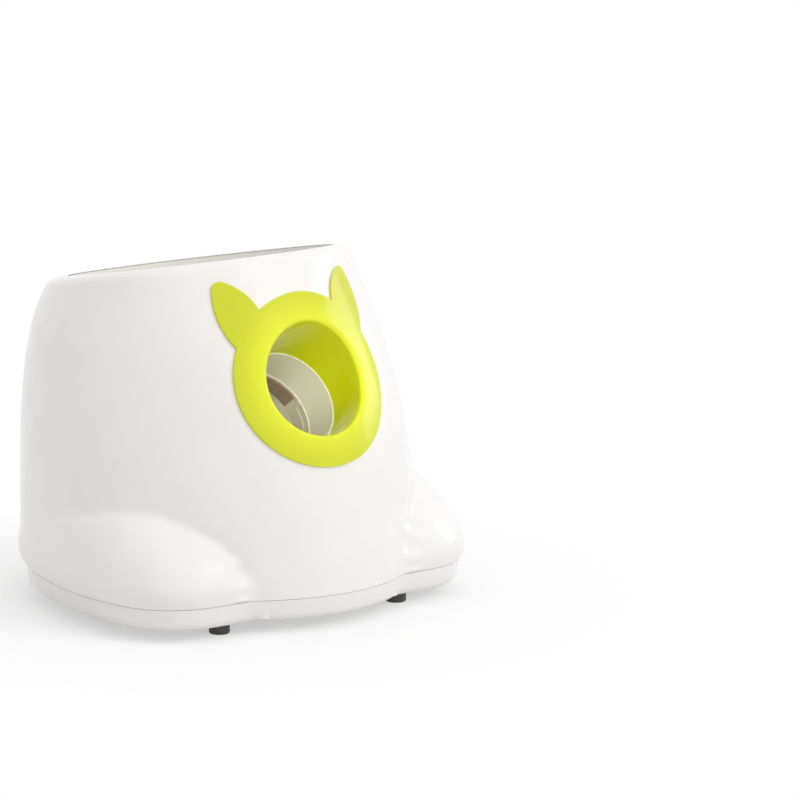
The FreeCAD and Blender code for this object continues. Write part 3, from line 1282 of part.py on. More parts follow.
def make_gear_spacers():
    posts = []
    for start, centre in spacer_places():
        post = cylinder_x(SPACER_RADIUS, start, OUTER_PLATE_X, centre)
        posts.append(post.cut(cylinder_x(SCREW_RADIUS, start - 1, OUTER_PLATE_X + 1, centre)))
    return Part.makeCompound(posts)


def make_spacer_screws():
    screws = []
    for start, centre in spacer_places():
        head = Vector(OUTER_PLATE_FACE + SCREW_HEAD_HEIGHT, centre.y, centre.z)
        screws.append(screw(head, X_AXIS.negative(), SPACER_SCREW_LENGTH))
        tail = Vector(start - PLATE_THICKNESS - SCREW_HEAD_HEIGHT, centre.y, centre.z)
        screws.append(screw(tail, X_AXIS, SPACER_SCREW_LENGTH))
    return Part.makeCompound(screws)


def drilled(plate, holes):
    for radius, centre in holes:
        plate = plate.cut(cylinder_x(radius, -100, 100, centre))
    return plate


def flange_screw_places():
    """Where the plates' flanges are screwed to the floor, as (x, y)."""
    places = []
    for x in (LEFT_BRACKET_X - FLANGE_WIDTH / 2, INNER_PLATE_X - FLANGE_WIDTH / 2 - FLANGE_SCREW_GAP):
        places.append((x, PIVOT.y - FLANGE_SCREW_FRONT))
        places.append((x, PIVOT.y + FLANGE_SCREW_REAR))
    places.append((OUTER_PLATE_X - FLANGE_WIDTH / 2, MOTOR.y + OUTER_FLANGE_SCREW))
    places.append((MIDDLE_PLATE_X - FLANGE_WIDTH / 2, SECOND.y - MIDDLE_FLANGE_SCREW))
    return places


def make_flange_screws():
    screws = []
    top = FLOOR_TOP + PLATE_THICKNESS + SCREW_HEAD_HEIGHT
    length = SCREW_HEAD_HEIGHT + PLATE_THICKNESS + FLANGE_SCREW_BITE
    for x, y in flange_screw_places():
        screws.append(screw(Vector(x, y, top), Z_AXIS.negative(), length))
    return Part.makeCompound(screws)


def flange(x0, x1, y0, y1):
    slab = box(x0, x1, y0, y1, FLOOR_TOP, FLOOR_TOP + PLATE_THICKNESS)
    for x, y in flange_screw_places():
        slab = slab.cut(cylinder_z(SCREW_RADIUS, x, y, FLOOR_TOP, FLOOR_TOP + PLATE_THICKNESS))
    return slab


def make_left_bracket():
    """Carries the free end of the hammer's axle."""
    y0, y1 = PIVOT.y - PLATE_FRONT_MARGIN, PIVOT.y + BRACKET_REAR_MARGIN
    top = PIVOT.z + BRACKET_TOP_MARGIN
    outline = [(y0, FLOOR_TOP), (y1, FLOOR_TOP), (PIVOT.y + BRACKET_TOP_HALF, top),
               (PIVOT.y - BRACKET_TOP_HALF, top)]
    plate = plate_x(outline, LEFT_BRACKET_X, LEFT_BRACKET_X + PLATE_THICKNESS)
    base = flange(LEFT_BRACKET_X - FLANGE_WIDTH, LEFT_BRACKET_X + PLATE_THICKNESS, y0, y1)
    peg_y = PIVOT.y - SPRING_COIL_RADIUS - SPRING_WIRE / 2 - SPRING_PEG_RADIUS - FIT_GAP
    peg_place = Vector(0, peg_y, PIVOT.z - SPRING_FOOT + SPRING_PEG_RADIUS)
    peg = cylinder_x(SPRING_PEG_RADIUS, LEFT_BRACKET_X, SPRING_START + SPRING_WIRE, peg_place)
    return drilled(joined([plate, base, peg]), [(BUSH_RADIUS, PIVOT)])


def make_inner_plate():
    """Carries the inner end of the drive gear's shaft; the hammer's hub passes through it."""
    y0, y1 = PIVOT.y - PLATE_FRONT_MARGIN, DRIVE.y + INNER_PLATE_REAR_MARGIN
    beyond, above = INNER_PLATE_SHOULDER
    top = PIVOT.z + INNER_PLATE_TOP_MARGIN
    outline = [(y0, FLOOR_TOP), (y1, FLOOR_TOP), (y1, DRIVE.z), (DRIVE.y + beyond, DRIVE.z + above),
               (PIVOT.y + INNER_PLATE_TOP_HALF, top), (PIVOT.y - INNER_PLATE_TOP_HALF, top), (y0, PIVOT.z)]
    plate = plate_x(outline, INNER_PLATE_X, INNER_PLATE_X + PLATE_THICKNESS)
    base = flange(INNER_PLATE_X - FLANGE_WIDTH, INNER_PLATE_X + PLATE_THICKNESS, y0, y1)
    holes = [(HAMMER_HUB_RADIUS + HUB_CLEARANCE, PIVOT), (DRIVE_SHAFT_RADIUS, DRIVE),
             (SCREW_RADIUS, spacer_places()[0][1])]
    return drilled(joined([plate, base]), holes)


def make_middle_plate():
    """Carries the inner ends of the two small shafts."""
    y0, y1 = DRIVE.y + MIDDLE_PLATE_START, FIRST.y + MIDDLE_PLATE_REAR_MARGIN
    before, above = MIDDLE_PLATE_STEP
    low, high = SECOND.z + above, FIRST.z + PLATE_TOP_MARGIN
    outline = [(y0, FLOOR_TOP), (y1, FLOOR_TOP), (y1, high), (FIRST.y + MIDDLE_PLATE_RISE, high),
               (SECOND.y - before, low), (y0, low)]
    plate = plate_x(outline, MIDDLE_PLATE_X, MIDDLE_PLATE_X + PLATE_THICKNESS)
    plate = plate.cut(tube_cylinder(CRADLE_BORE + CRADLE_WALL + CRADLE_CLEARANCE, CRADLE_START, CRADLE_END))
    end = SECOND.y + MIDDLE_FLANGE_MARGIN
    base = flange(MIDDLE_PLATE_X - FLANGE_WIDTH, MIDDLE_PLATE_X + PLATE_THICKNESS, y0, end)
    holes = [(SMALL_SHAFT_RADIUS, SECOND), (SMALL_SHAFT_RADIUS, FIRST)]
    holes += [(SCREW_RADIUS, centre) for _, centre in spacer_places()[1:]]
    return drilled(joined([plate, base]), holes)


def make_outer_plate():
    """Carries the outer ends of the shafts, the axle's bush and the motor."""
    y0, y1 = PIVOT.y - PLATE_FRONT_MARGIN, MOTOR.y + MOTOR_RADIUS + OUTER_PLATE_REAR_MARGIN
    high = FIRST.z + PLATE_TOP_MARGIN
    outline = [(y0, FLOOR_TOP), (y1, FLOOR_TOP), (y1, high), (SECOND.y, high),
               (DRIVE.y, PIVOT.z + OUTER_PLATE_SHOULDER), (y0, PIVOT.z + BRACKET_TOP_MARGIN)]
    plate = plate_x(outline, OUTER_PLATE_X, OUTER_PLATE_FACE)
    base = flange(OUTER_PLATE_X - FLANGE_WIDTH, OUTER_PLATE_FACE, MOTOR.y + OUTER_FLANGE_START, y1)
    holes = [(BUSH_RADIUS, PIVOT), (DRIVE_SHAFT_RADIUS, DRIVE), (SMALL_SHAFT_RADIUS, SECOND),
             (SMALL_SHAFT_RADIUS, FIRST), (MOTOR_BOSS_RADIUS, MOTOR)]
    holes += [(SCREW_RADIUS, centre) for _, centre in spacer_places()]
    holes += [(SCREW_RADIUS, centre) for centre in motor_screw_places()]
    return drilled(joined([plate, base]), holes)


# ---- batteries -----------------------------------------------------------------------------------
def cell_centres():
    """Heights and rows of the cells in one bay, as (y, z)."""
    z = FLOOR_TOP + CELL_LIFT + CELL_RADIUS
    return [Vector(0, CELL_FIRST_Y + CELL_PITCH * k, z) for k in range(CELL_COUNT)]


def make_cells(side):
    cells = []
    for k, centre in enumerate(cell_centres()):
        can = cylinder_x(CELL_RADIUS, CELL_INNER_X, CELL_INNER_X + CELL_LENGTH, centre)
        rims = [e for e in can.Edges if e.Length > 5 * CELL_RADIUS]
        can = can.makeChamfer(0.8, rims)
        nub_start = CELL_INNER_X + CELL_LENGTH
        cell = can.fuse(cylinder_x(CELL_NUB_RADIUS, nub_start, nub_start + CELL_NUB_HEIGHT, centre))
        if side < 0:
            cell = cell.mirror(Vector(0, 0, 0), X_AXIS)
        cells.append(cell)
    return Part.makeCompound(cells)


def make_contacts(side):
    """Per cell, a coil spring on its inner end and a flat plate on its outer end."""
    pieces = []
    for centre in cell_centres():
        spring_end = CELL_INNER_X
        start = spring_end - CONTACT_SPRING_LENGTH
        plate_half = CELL_RADIUS * 0.6
        plate = box(start - CONTACT_PLATE, start, centre.y - plate_half, centre.y + plate_half,
                    centre.z - plate_half, centre.z + plate_half)
        ring = cylinder_x(CONTACT_SPRING_RADIUS, start, spring_end, centre)
        ring = ring.cut(cylinder_x(CONTACT_SPRING_RADIUS - CONTACT_WIRE, start - 1, spring_end + 1, centre))
        pieces.append(plate.fuse(ring))
        end = CELL_INNER_X + CELL_LENGTH + CELL_NUB_HEIGHT
        pieces.append(box(end, end + CONTACT_PLATE, centre.y - plate_half, centre.y + plate_half,
                          centre.z - plate_half, centre.z + plate_half))
    if side < 0:
        pieces = [piece.mirror(Vector(0, 0, 0), X_AXIS) for piece in pieces]
    return Part.makeCompound(pieces)


def make_battery_holder(side):
    """An open-bottomed box over three cells, standing on the tray's floor."""
    x0, x1, y0, y1 = door_corners(1)
    top = FLOOR_TOP + CELL_LIFT + 2 * CELL_RADIUS + HOLDER_GAP
    outside = box(x0 - HOLDER_WALL, x1 + HOLDER_WALL, y0 - HOLDER_WALL, y1 + HOLDER_WALL, FLOOR_TOP,
                  top + HOLDER_WALL)
    holder = outside.cut(box(x0, x1, y0, y1, FLOOR_TOP - 1, top))
    ribs = []
    for k in range(1, CELL_COUNT):
        y = CELL_FIRST_Y + CELL_PITCH * (k - 0.5)
        for x in (x0 + 6.0, x1 - 9.0):
            rib = box(x, x + 2.0, y - 6.0, y + 6.0, top - 6.0, top)
            for centre in cell_centres():
                rib = rib.cut(cylinder_x(CELL_RADIUS + FIT_GAP, 0, 200, centre))
            ribs.append(rib)
    holder = joined([holder] + ribs)
    if side < 0:
        return holder.mirror(Vector(0, 0, 0), X_AXIS)
    return holder


def make_door_screws():
    screws = []
    for side in (1, -1):
        x, y = door_screw_place(side)
        screws.append(screw(Vector(x, y, FOOT_HEIGHT + DOOR_RECESS - SCREW_HEAD_HEIGHT), Z_AXIS, 7.5))
    return Part.makeCompound(screws)


def make_housing_screws():
    screws = []
    head_z = FOOT_HEIGHT + BOSS_RECESS - SCREW_HEAD_HEIGHT
    length = SEAM + BOSS_SCREW_LENGTH - 2.0 - head_z
    for x, y in boss_places():
        screws += both_sides(screw(Vector(x, y, head_z), Z_AXIS, length))
    return Part.makeCompound(screws)


# ---- rear control panel --------------------------------------------------------------------------
def lamp_places():
    return [-LAMP_PITCH, 0.0, LAMP_PITCH]


def make_control_bezel(panel_seat, panel_form):
    """A thin curved plate on the rear of the shell, pierced for buttons, lamps and inlet."""
    block = rounded_box_y(PANEL_HALF_WIDTH, PANEL_BOTTOM, PANEL_TOP, PANEL_CORNER, REAR_REACH - 30,
                          REAR_REACH + 10)
    plate = block.common(panel_form).cut(panel_seat)
    plate = max(plate.Solids, key=lambda solid: solid.Volume)
    for x in (-BUTTON_X, BUTTON_X):
        plate = plate.cut(cylinder_y(BUTTON_RADIUS + BUTTON_GAP, x, 60, 140, BUTTON_HEIGHT))
    for x in lamp_places():
        plate = plate.cut(cylinder_y(LAMP_RADIUS + FIT_GAP, x, 60, 140, LAMP_HEIGHT))
    return plate.cut(cylinder_y(JACK_BARREL_RADIUS + FIT_GAP, 0, 60, 140, JACK_HEIGHT))


def panel_face_y(x):
    """Where the bezel's face lies at a distance x from the middle plane."""
    reach = REAR_REACH + PANEL_PROUD
    return reach * math.sqrt(1 - (x / SIDE_REACH) ** 2)


def button_stop_y(x):
    """The button's flange stops against the bezel's inner face, at its far edge."""
    return panel_face_y(abs(x) + BUTTON_FLANGE_RADIUS) - PANEL_PROUD - BUTTON_GAP


def make_button(x):
    """Cap, flange and stem; the flange stops it against the bezel from inside."""
    face = panel_face_y(x)
    cap_front = face + BUTTON_PROUD
    flange_front = button_stop_y(x)
    cap = cylinder_y(BUTTON_RADIUS, x, flange_front, cap_front, BUTTON_HEIGHT)
    rim = [e for e in cap.Edges if e.BoundBox.YMin > cap_front - 0.01]
    cap = cap.makeFillet(1.0, rim)
    stop = cylinder_y(BUTTON_FLANGE_RADIUS, x, flange_front - BUTTON_FLANGE, flange_front, BUTTON_HEIGHT)
    stem_end = BOARD_Y + BOARD_THICKNESS + TACT_HEIGHT + TACT_PLUNGER + BUTTON_TRAVEL + 0.1
    stem = cylinder_y(BUTTON_STEM_RADIUS, x, stem_end, flange_front, BUTTON_HEIGHT)
    return joined([cap, stop, stem])


def make_button_domes():
    """Silicone cups round the switches that push the buttons out again."""
    domes = []
    for x in (-BUTTON_X, BUTTON_X):
        back = BOARD_Y + BOARD_THICKNESS
        length = button_stop_y(x) - BUTTON_FLANGE - back
        foot = Vector(x, back, BUTTON_HEIGHT)
        cup = Part.makeCone(DOME_FOOT_RADIUS, DOME_TOP_RADIUS, length, foot, Y_AXIS)
        hollow = Part.makeCone(DOME_FOOT_RADIUS - DOME_WALL, DOME_TOP_RADIUS - DOME_WALL, length, foot,
                               Y_AXIS)
        domes.append(cup.cut(hollow))
    return Part.makeCompound(domes)


def make_tact_switches():
    switches = []
    half = TACT_SIZE / 2
    back = BOARD_Y + BOARD_THICKNESS
    for x in (-BUTTON_X, BUTTON_X):
        block = box(x - half, x + half, back, back + TACT_HEIGHT, BUTTON_HEIGHT - half, BUTTON_HEIGHT + half)
        end = back + TACT_HEIGHT
        switches.append(block.fuse(cylinder_y(TACT_PLUNGER_RADIUS, x, end, end + TACT_PLUNGER,
                                              BUTTON_HEIGHT)))
    return Part.makeCompound(switches)


def make_light_pipes():
    pipes = []
    for x in lamp_places():
        end = panel_face_y(x) + 0.3
        pipes.append(cylinder_y(LAMP_RADIUS, x, BOARD_Y + BOARD_THICKNESS + LAMP_CHIP[1], end, LAMP_HEIGHT))
    return Part.makeCompound(pipes)


def make_lamps():
    lamps = []
    wide, thick, high = LAMP_CHIP
    back = BOARD_Y + BOARD_THICKNESS
    for x in lamp_places():
        lamps.append(box(x - wide / 2, x + wide / 2, back, back + thick, LAMP_HEIGHT - high / 2,
                         LAMP_HEIGHT + high / 2))
    return Part.makeCompound(lamps)


def make_dc_jack():
    wide, long, high = JACK_BODY
    back = BOARD_Y + BOARD_THICKNESS
    front = panel_face_y(0) - 0.2
    block = box(-wide / 2, wide / 2, back, back + long, JACK_HEIGHT - high / 2, JACK_HEIGHT + high / 2)
    barrel = cylinder_y(JACK_BARREL_RADIUS, 0, back + long, front, JACK_HEIGHT)
    jack = block.fuse(barrel).cut(cylinder_y(JACK_BORE, 0, back + 6.0, front + 1, JACK_HEIGHT))
    pin = cylinder_y(JACK_PIN_RADIUS, 0, back + 5.0, front - 1.5, JACK_HEIGHT)
    return jack.fuse(pin)


def make_control_board():
    board = box(-BOARD_HALF_WIDTH, BOARD_HALF_WIDTH, BOARD_Y, BOARD_Y + BOARD_THICKNESS, BOARD_BOTTOM,
                BOARD_TOP)
    for x, z in post_places():
        board = board.cut(cylinder_y(SCREW_RADIUS, x, BOARD_Y - 1, BOARD_Y + 5, z))
    return board


def make_board_parts():
    """The taller parts on the back of the control board: chip, capacitor, relay and socket."""
    y = BOARD_Y
    z = BOARD_BOTTOM
    chip = box(-6, 6, y - 1.8, y, z + 16, z + 28)
    capacitor = cylinder_y(4.0, 18.0, y - 11.0, y, z + 14)
    driver = box(-22, -12, y - 4.5, y, z + 8, z + 24)
    plug = box(6, 16, y - 6.0, y, z + 30, z + 36)
    return Part.makeCompound([chip, capacitor, driver, plug])


def make_board_screws():
    screws = []
    for x, z in post_places():
        screws.append(screw(Vector(x, BOARD_Y - SCREW_HEAD_HEIGHT, z), Y_AXIS, 7.0))
    return Part.makeCompound(screws)


def make_buzzer():
    x, y = BUZZER_PLACE
    body = cylinder_z(BUZZER_RADIUS, x, y, FLOOR_TOP, FLOOR_TOP + BUZZER_HEIGHT)
    return body.cut(cylinder_z(BUZZER_RADIUS - 2, x, y, FLOOR_TOP - 1, FLOOR_TOP + 1.5))


def make_position_sensor():
    """A slotted light gate on the left bracket, which watches the hammer's hub."""
    thick, wide, high = OPTO_SIZE
    x1 = LEFT_BRACKET_X
    y0 = PIVOT.y + 9.5
    block = box(x1 - thick, x1, y0, y0 + wide * 0.5, FLOOR_TOP + 6.0, FLOOR_TOP + 6.0 + high)
    gap = box(x1 - thick + 1.2, x1 - 1.2, y0 - 1, y0 + wide, FLOOR_TOP + 9.0, FLOOR_TOP + 6.0 + high + 1)
    return block.cut(gap)


# ---- the whole launcher --------------------------------------------------------------------------
def pieces():
    """Each node's name, the function that makes it and what that function needs."""
    outer = housing_form(0.0, 0.0, RIM_ROUNDING)
    proud_form = housing_form(TRIM_PROUD, 0.0, 0.0)
    panel_form = housing_form(PANEL_PROUD, 0.0, 0.0)
    panel_seat = housing_form(FIT_GAP, 0.0, 0.0)
    return [
        ("upper_shell", make_upper_shell, (outer,)),
        ("base_tray", make_base_tray, ()),
        ("rubber_feet", make_feet, ()),
        ("battery_door_left", make_battery_door, (1,)),
        ("battery_door_right", make_battery_door, (-1,)),
        ("mouth_trim", make_mouth_trim, (outer, proud_form)),
        ("mouth_liner", make_mouth_liner, ()),
        ("tube_gasket", make_gasket, ()),
        ("hopper_bowl", make_hopper_bowl, ()),
        ("ball_cradle", make_cradle, ()),
        ("ball_sensors", make_ball_sensors, ()),
        ("felt_pads", make_felt_pads, ()),
        ("hammer_arm", make_hammer_arm, ()),
        ("hammer_pad", make_hammer_pad, ()),
        ("hammer_axle", make_hammer_axle, ()),
        ("axle_clip", make_axle_clip, ()),
        ("axle_bushes", make_axle_bushes, ()),
        ("hammer_spring", make_hammer_spring, ()),
        ("stop_bumper", make_stop_bumper, ()),
        ("drive_gear", make_drive_gear, ()),
        ("second_gear", make_compound_gear, SECOND_GEAR),
        ("first_gear", make_compound_gear, FIRST_GEAR),
        ("motor_pinion", make_motor_pinion, ()),
        ("motor_shaft", make_motor_shaft, ()),
        ("motor", make_motor, ()),
        ("motor_screws", make_motor_screws, ()),
        ("gear_shafts", make_gear_shafts, ()),
        ("gear_spacers", make_gear_spacers, ()),
        ("spacer_screws", make_spacer_screws, ()),
        ("left_bracket", make_left_bracket, ()),
        ("inner_plate", make_inner_plate, ()),
        ("middle_plate", make_middle_plate, ()),
        ("outer_plate", make_outer_plate, ()),
        ("flange_screws", make_flange_screws, ()),
        ("battery_cells_left", make_cells, (1,)),
        ("battery_cells_right", make_cells, (-1,)),
        ("battery_contacts_left", make_contacts, (1,)),
        ("battery_contacts_right", make_contacts, (-1,)),
        ("battery_holder_left", make_battery_holder, (1,)),
        ("battery_holder_right", make_battery_holder, (-1,)),
        ("door_screws", make_door_screws, ()),
        ("housing_screws", make_housing_screws, ()),
        ("control_bezel", make_control_bezel, (panel_seat, panel_form)),
        ("power_button", make_button, (-BUTTON_X,)),
        ("distance_button", make_button, (BUTTON_X,)),
        ("button_domes", make_button_domes, ()),
        ("tact_switches", make_tact_switches, ()),
        ("light_pipes", make_light_pipes, ()),
        ("status_lamps", make_lamps, ()),
        ("dc_jack", make_dc_jack, ()),
        ("control_board", make_control_board, ()),
        ("board_parts", make_board_parts, ()),
        ("board_screws", make_board_screws, ()),
        ("buzzer", make_buzzer, ()),
        ("position_sensor", make_position_sensor, ()),
    ]


def main():
    os.makedirs("parts", exist_ok=True)
    for name, make, needs in pieces():
        shape = make(*needs)
        shape.exportStep("parts/" + name + ".step")


main()
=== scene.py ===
import math

import bmesh
import bpy
from mathutils import Matrix, Vector
from mathutils.bvhtree import BVHTree


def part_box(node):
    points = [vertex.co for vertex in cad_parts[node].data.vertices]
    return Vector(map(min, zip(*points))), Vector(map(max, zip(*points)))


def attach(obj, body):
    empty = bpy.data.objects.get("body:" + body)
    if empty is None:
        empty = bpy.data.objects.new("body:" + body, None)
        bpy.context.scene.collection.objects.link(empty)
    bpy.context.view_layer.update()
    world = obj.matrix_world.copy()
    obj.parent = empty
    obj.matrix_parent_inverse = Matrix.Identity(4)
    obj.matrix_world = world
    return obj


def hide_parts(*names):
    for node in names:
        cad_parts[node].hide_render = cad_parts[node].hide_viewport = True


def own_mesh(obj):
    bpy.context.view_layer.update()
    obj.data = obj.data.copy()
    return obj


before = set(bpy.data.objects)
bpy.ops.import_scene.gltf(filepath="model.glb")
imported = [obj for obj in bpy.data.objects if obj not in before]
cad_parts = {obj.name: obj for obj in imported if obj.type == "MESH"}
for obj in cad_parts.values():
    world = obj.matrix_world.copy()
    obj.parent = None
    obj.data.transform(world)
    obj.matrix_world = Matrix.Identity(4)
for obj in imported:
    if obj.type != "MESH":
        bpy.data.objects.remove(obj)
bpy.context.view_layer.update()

bl_info = {
    "name": "Dog Ball Launcher",
    "version": (1, 0, 0),
    "blender": (4, 5, 0),
    "location": "View3D > Sidebar > Launcher",
    "description": "Dresses the packed ball launcher with finishes, small fittings and a studio",
    "category": "Object",
}

MM = 0.001
MERGE_DISTANCE = 1e-7
WELD_DISTANCE = 1e-6
EDGE_SEGMENTS = 3
RING_SEGMENTS = 48

# Sizes and places that the solids have too
FOOT_RADIUS = 5.75 * MM
MOUTH_CENTRE = Vector((0.0, -87.3, 135.6)) * MM

# How far from the middle the bright bands of the cells start
CELL_BAND_START = 0.088

# Collar round each foot, and ribs of the hammer's pad
COLLAR_DROP = 1.3 * MM
COLLAR_LAP = 0.3 * MM
COLLAR_THICKNESS = 1.2 * MM
COLLAR_EDGE = 0.35 * MM
RIB_STEPS = range(-2, 3)
RIB_SHARE = 0.78
RIB_WIDTH = 1.4 * MM
RIB_HEIGHT = 1.0 * MM
RIB_EDGE = 0.45 * MM

# Marks on the rear panel. A bar of the polarity mark is its X, width and height in mm.
# The power sign's bar has its length and rise as shares of the ring's radius.
MARK_DEPTH = 0.5 * MM
MARK_EDGE = 0.15 * MM
POLARITY_BARS = (
    (-17.5, 2.2, 0.45), (-9.5, 2.2, 0.45), (-9.5, 0.45, 2.2), (-15.2, 1.6, 0.4), (-11.6, 1.2, 0.4))
POLARITY_DEPTH = 0.4 * MM
POLARITY_EDGE = 0.12 * MM
POLARITY_DOT_X = -13.5 * MM
POLARITY_DOT_RADIUS = 0.9 * MM
POLARITY_DOT_FLATTEN = 0.25
POWER_LINE_HALF = 0.28 * MM
POWER_BAR_WIDTH = 0.56 * MM
POWER_BAR_LENGTH = 1.1
POWER_BAR_RISE = 0.75
POWER_RING_START = math.radians(-55)
POWER_RING_TURN = math.radians(290)
POWER_RING_STEPS = 30
DISTANCE_BAR_LOWEST = 1.3 * MM
DISTANCE_BAR_RISE = 1.1 * MM
DISTANCE_BAR_WIDTH = 0.8 * MM
DISTANCE_BAR_PITCH = 1.7 * MM
DISTANCE_BAR_FOOT = -1.8 * MM

# Studio. A softbox is its name, place, target, side, power, and whether gloss mirrors it.
SOFTBOXES = (
    ("Key softbox", (0.9, -1.9, 1.5), (0.0, 0.0, 0.1), 1.3, 20.5, False),
    ("Top softbox", (-0.3, -0.1, 1.9), (0.0, 0.0, 0.0), 1.4, 7.8, False),
    ("Side softbox", (2.2, -0.55, 0.75), (0.0, 0.0, 0.1), 0.9, 3.0, True),
)
MOUTH_LAMP_POWER = 520.0
MOUTH_LAMP_RADIUS = 0.03
MOUTH_LAMP_ANGLE = math.radians(1.35)
MOUTH_LAMP_OFFSET = Vector((-1.15, -2.15, 1.0))
AIR_STRENGTH = 0.66
SHADOW_CORE = 0.45
CAMERA_TURN = math.radians(39.27)
CAMERA_RISE = math.radians(10.94)
CAMERA_PLACE = Vector((-2.0010, -2.6049, 0.7446))
CAMERA_LENS = 270.0
CAMERA_SENSOR = 36.0
CAMERA_REACH = 60.0


# ---- colours ---------------------------------------------------------------------------------
def linear(hex_colour, alpha=True):
    """An sRGB hex value as linear numbers, by the curve of the sRGB standard."""
    numbers = []
    for start in (0, 2, 4):
        share = int(hex_colour[start:start + 2], 16) / 255.0
        if share <= 0.04045:
            numbers.append(share / 12.92)
        else:
            numbers.append(((share + 0.055) / 1.055) ** 2.4)
    return tuple(numbers) + ((1.0,) if alpha else ())


def colour_property(name, hex_colour, description):
    """A colour that the sidebar offers, with its value as supplied."""
    return bpy.props.FloatVectorProperty(
        name=name, description=description, subtype="COLOR", size=3, min=0.0, max=1.0,
        default=linear(hex_colour, alpha=False))


def length_property(name, description, default, minimum):
    """A length that the sidebar offers."""
    return bpy.props.FloatProperty(
        name=name, description=description, default=default, min=minimum, unit="LENGTH")


class LauncherColours(bpy.types.PropertyGroup):
    """Colours that a maker would offer in other versions."""
    shell: colour_property("Housing", "efedea", "Gloss ABS of the bell and the base")
    bowl: colour_property("Hopper", "eceae5", "Gloss ABS of the ball hopper")
    trim: colour_property(
        "Mouth trim", "cfd40a", "Gloss ABS of the ring with ears, and the buttons")
    liner: colour_property("Liner", "e6e4d4", "Satin ABS of the liner behind the trim")
    cradle: colour_property("Cradle", "cfcbb2", "Satin polypropylene of the ball cradle")
    felt: colour_property("Felt", "73583a", "Wool felt strips in the cradle")
    gasket: colour_property(
        "Gasket", "c9c6b0", "Silicone gasket between liner and cradle, and the button domes")
    rubber: colour_property("Rubber", "262422", "Moulded rubber of the bumper and the hammer's pad")
    feet: colour_property("Feet", "4c4847", "Soft rubber of the feet")
    panel: colour_property("Rear panel", "3a3c40", "Textured ABS of the control panel")
    studio: colour_property("Studio", "ffffff", "Floor and backdrop")


class LauncherSizes(bpy.types.PropertyGroup):
    """Sizes of the small fittings that the frame leaves plain, and of the studio."""
    mark_radius: length_property(
        "Mark radius", "Radius of the ring on the power button", 2.3 * MM, 0.5 * MM)
    foot_collar: length_property(
        "Foot collar", "How far the collar of a foot stands out round it", 0.9 * MM, 0.2 * MM)
    rib_pitch: length_property(
        "Rib pitch", "Distance between the ribs of the hammer's pad", 3.4 * MM, 1.0 * MM)
    floor_radius: length_property("Floor radius", "Radius of the studio floor", 9.0, 1.0)
    shadow_reach: length_property(
        "Shadow reach", "How far the floor keeps its shading", 0.26, 0.1)


# ---- node helpers ----------------------------------------------------------------------------
def add_node(tree, kind, settings=None, links=None):
    """Adds one node, sets its sockets or fields by name, and links its inputs."""
    made = tree.nodes.new(kind)
    for key, value in (settings or {}).items():
        if isinstance(key, int) or key in made.inputs:
            made.inputs[key].default_value = value
        else:
            setattr(made, key, value)
    for socket, source in (links or {}).items():
        tree.links.new(source, made.inputs[socket])
    return made


def new_material(name):
    """An empty material with its tree and output."""
    material = bpy.data.materials.new(name)
    material.use_nodes = True
    material.node_tree.nodes.clear()
    output = material.node_tree.nodes.new("ShaderNodeOutputMaterial")
    return material, material.node_tree, output


def per_mm(size_mm):
    """Noise or wave scale whose features are size_mm across on Object coordinates."""
    return 1000.0 / size_mm


def coordinates(tree):
    """Object coordinates, which stay with the piece."""
    return add_node(tree, "ShaderNodeTexCoord").outputs["Object"]


def ramp(tree, source, low, high, first, last):
    """Maps a 0 to 1 pattern between two positions to two values."""
    return add_node(tree, "ShaderNodeMapRange", {
        "From Min": low, "From Max": high, "To Min": first, "To Max": last},
        {"Value": source}).outputs[0]


def mix_colour(tree, base, other, factor):
    """Goes from one colour to another as a pattern goes from 0 to 1."""
    made = tree.nodes.new("ShaderNodeMix")
    made.data_type = "RGBA"
    made.inputs[6].default_value = base
    made.inputs[7].default_value = other
    tree.links.new(factor, made.inputs[0])
    return made.outputs[2]


def noise(tree, vector, size_mm, detail=2.0, roughness=0.5):
    """A cloudy 0 to 1 pattern with patches of about size_mm."""
    return add_node(tree, "ShaderNodeTexNoise", {
        "Scale": per_mm(size_mm), "Detail": detail, "Roughness": roughness},
        {"Vector": vector}).outputs["Fac"]


def bump(tree, height, distance_mm):
    """Turns a 0 to 1 pattern into relief that is distance_mm deep."""
    return add_node(tree, "ShaderNodeBump", {
        "Strength": 1.0, "Distance": distance_mm * MM}, {"Height": height}).outputs["Normal"]


def shader(tree, output, settings, links):
    """The material's one Principled surface."""
    surface = add_node(tree, "ShaderNodeBsdfPrincipled", settings, links)
    tree.links.new(surface.outputs[0], output.inputs["Surface"])


def background_rays(tree):
    """One for the rays that see the surround itself.

    They are the camera's, and those in gloss and in clear pieces.
    """
    rays = add_node(tree, "ShaderNodeLightPath").outputs
    mirrored = add_node(tree, "ShaderNodeMath", {"operation": "MAXIMUM"}, {
        0: rays["Is Glossy Ray"], 1: rays["Is Transmission Ray"]}).outputs[0]
    return add_node(tree, "ShaderNodeMath", {"operation": "MAXIMUM"}, {
        0: rays["Is Camera Ray"], 1: mirrored}).outputs[0]


def shade(colour, factor):
    """A colour made darker or paler, with no part above 1."""
    return tuple(min(1.0, part * factor) for part in colour[:3]) + (1.0,)


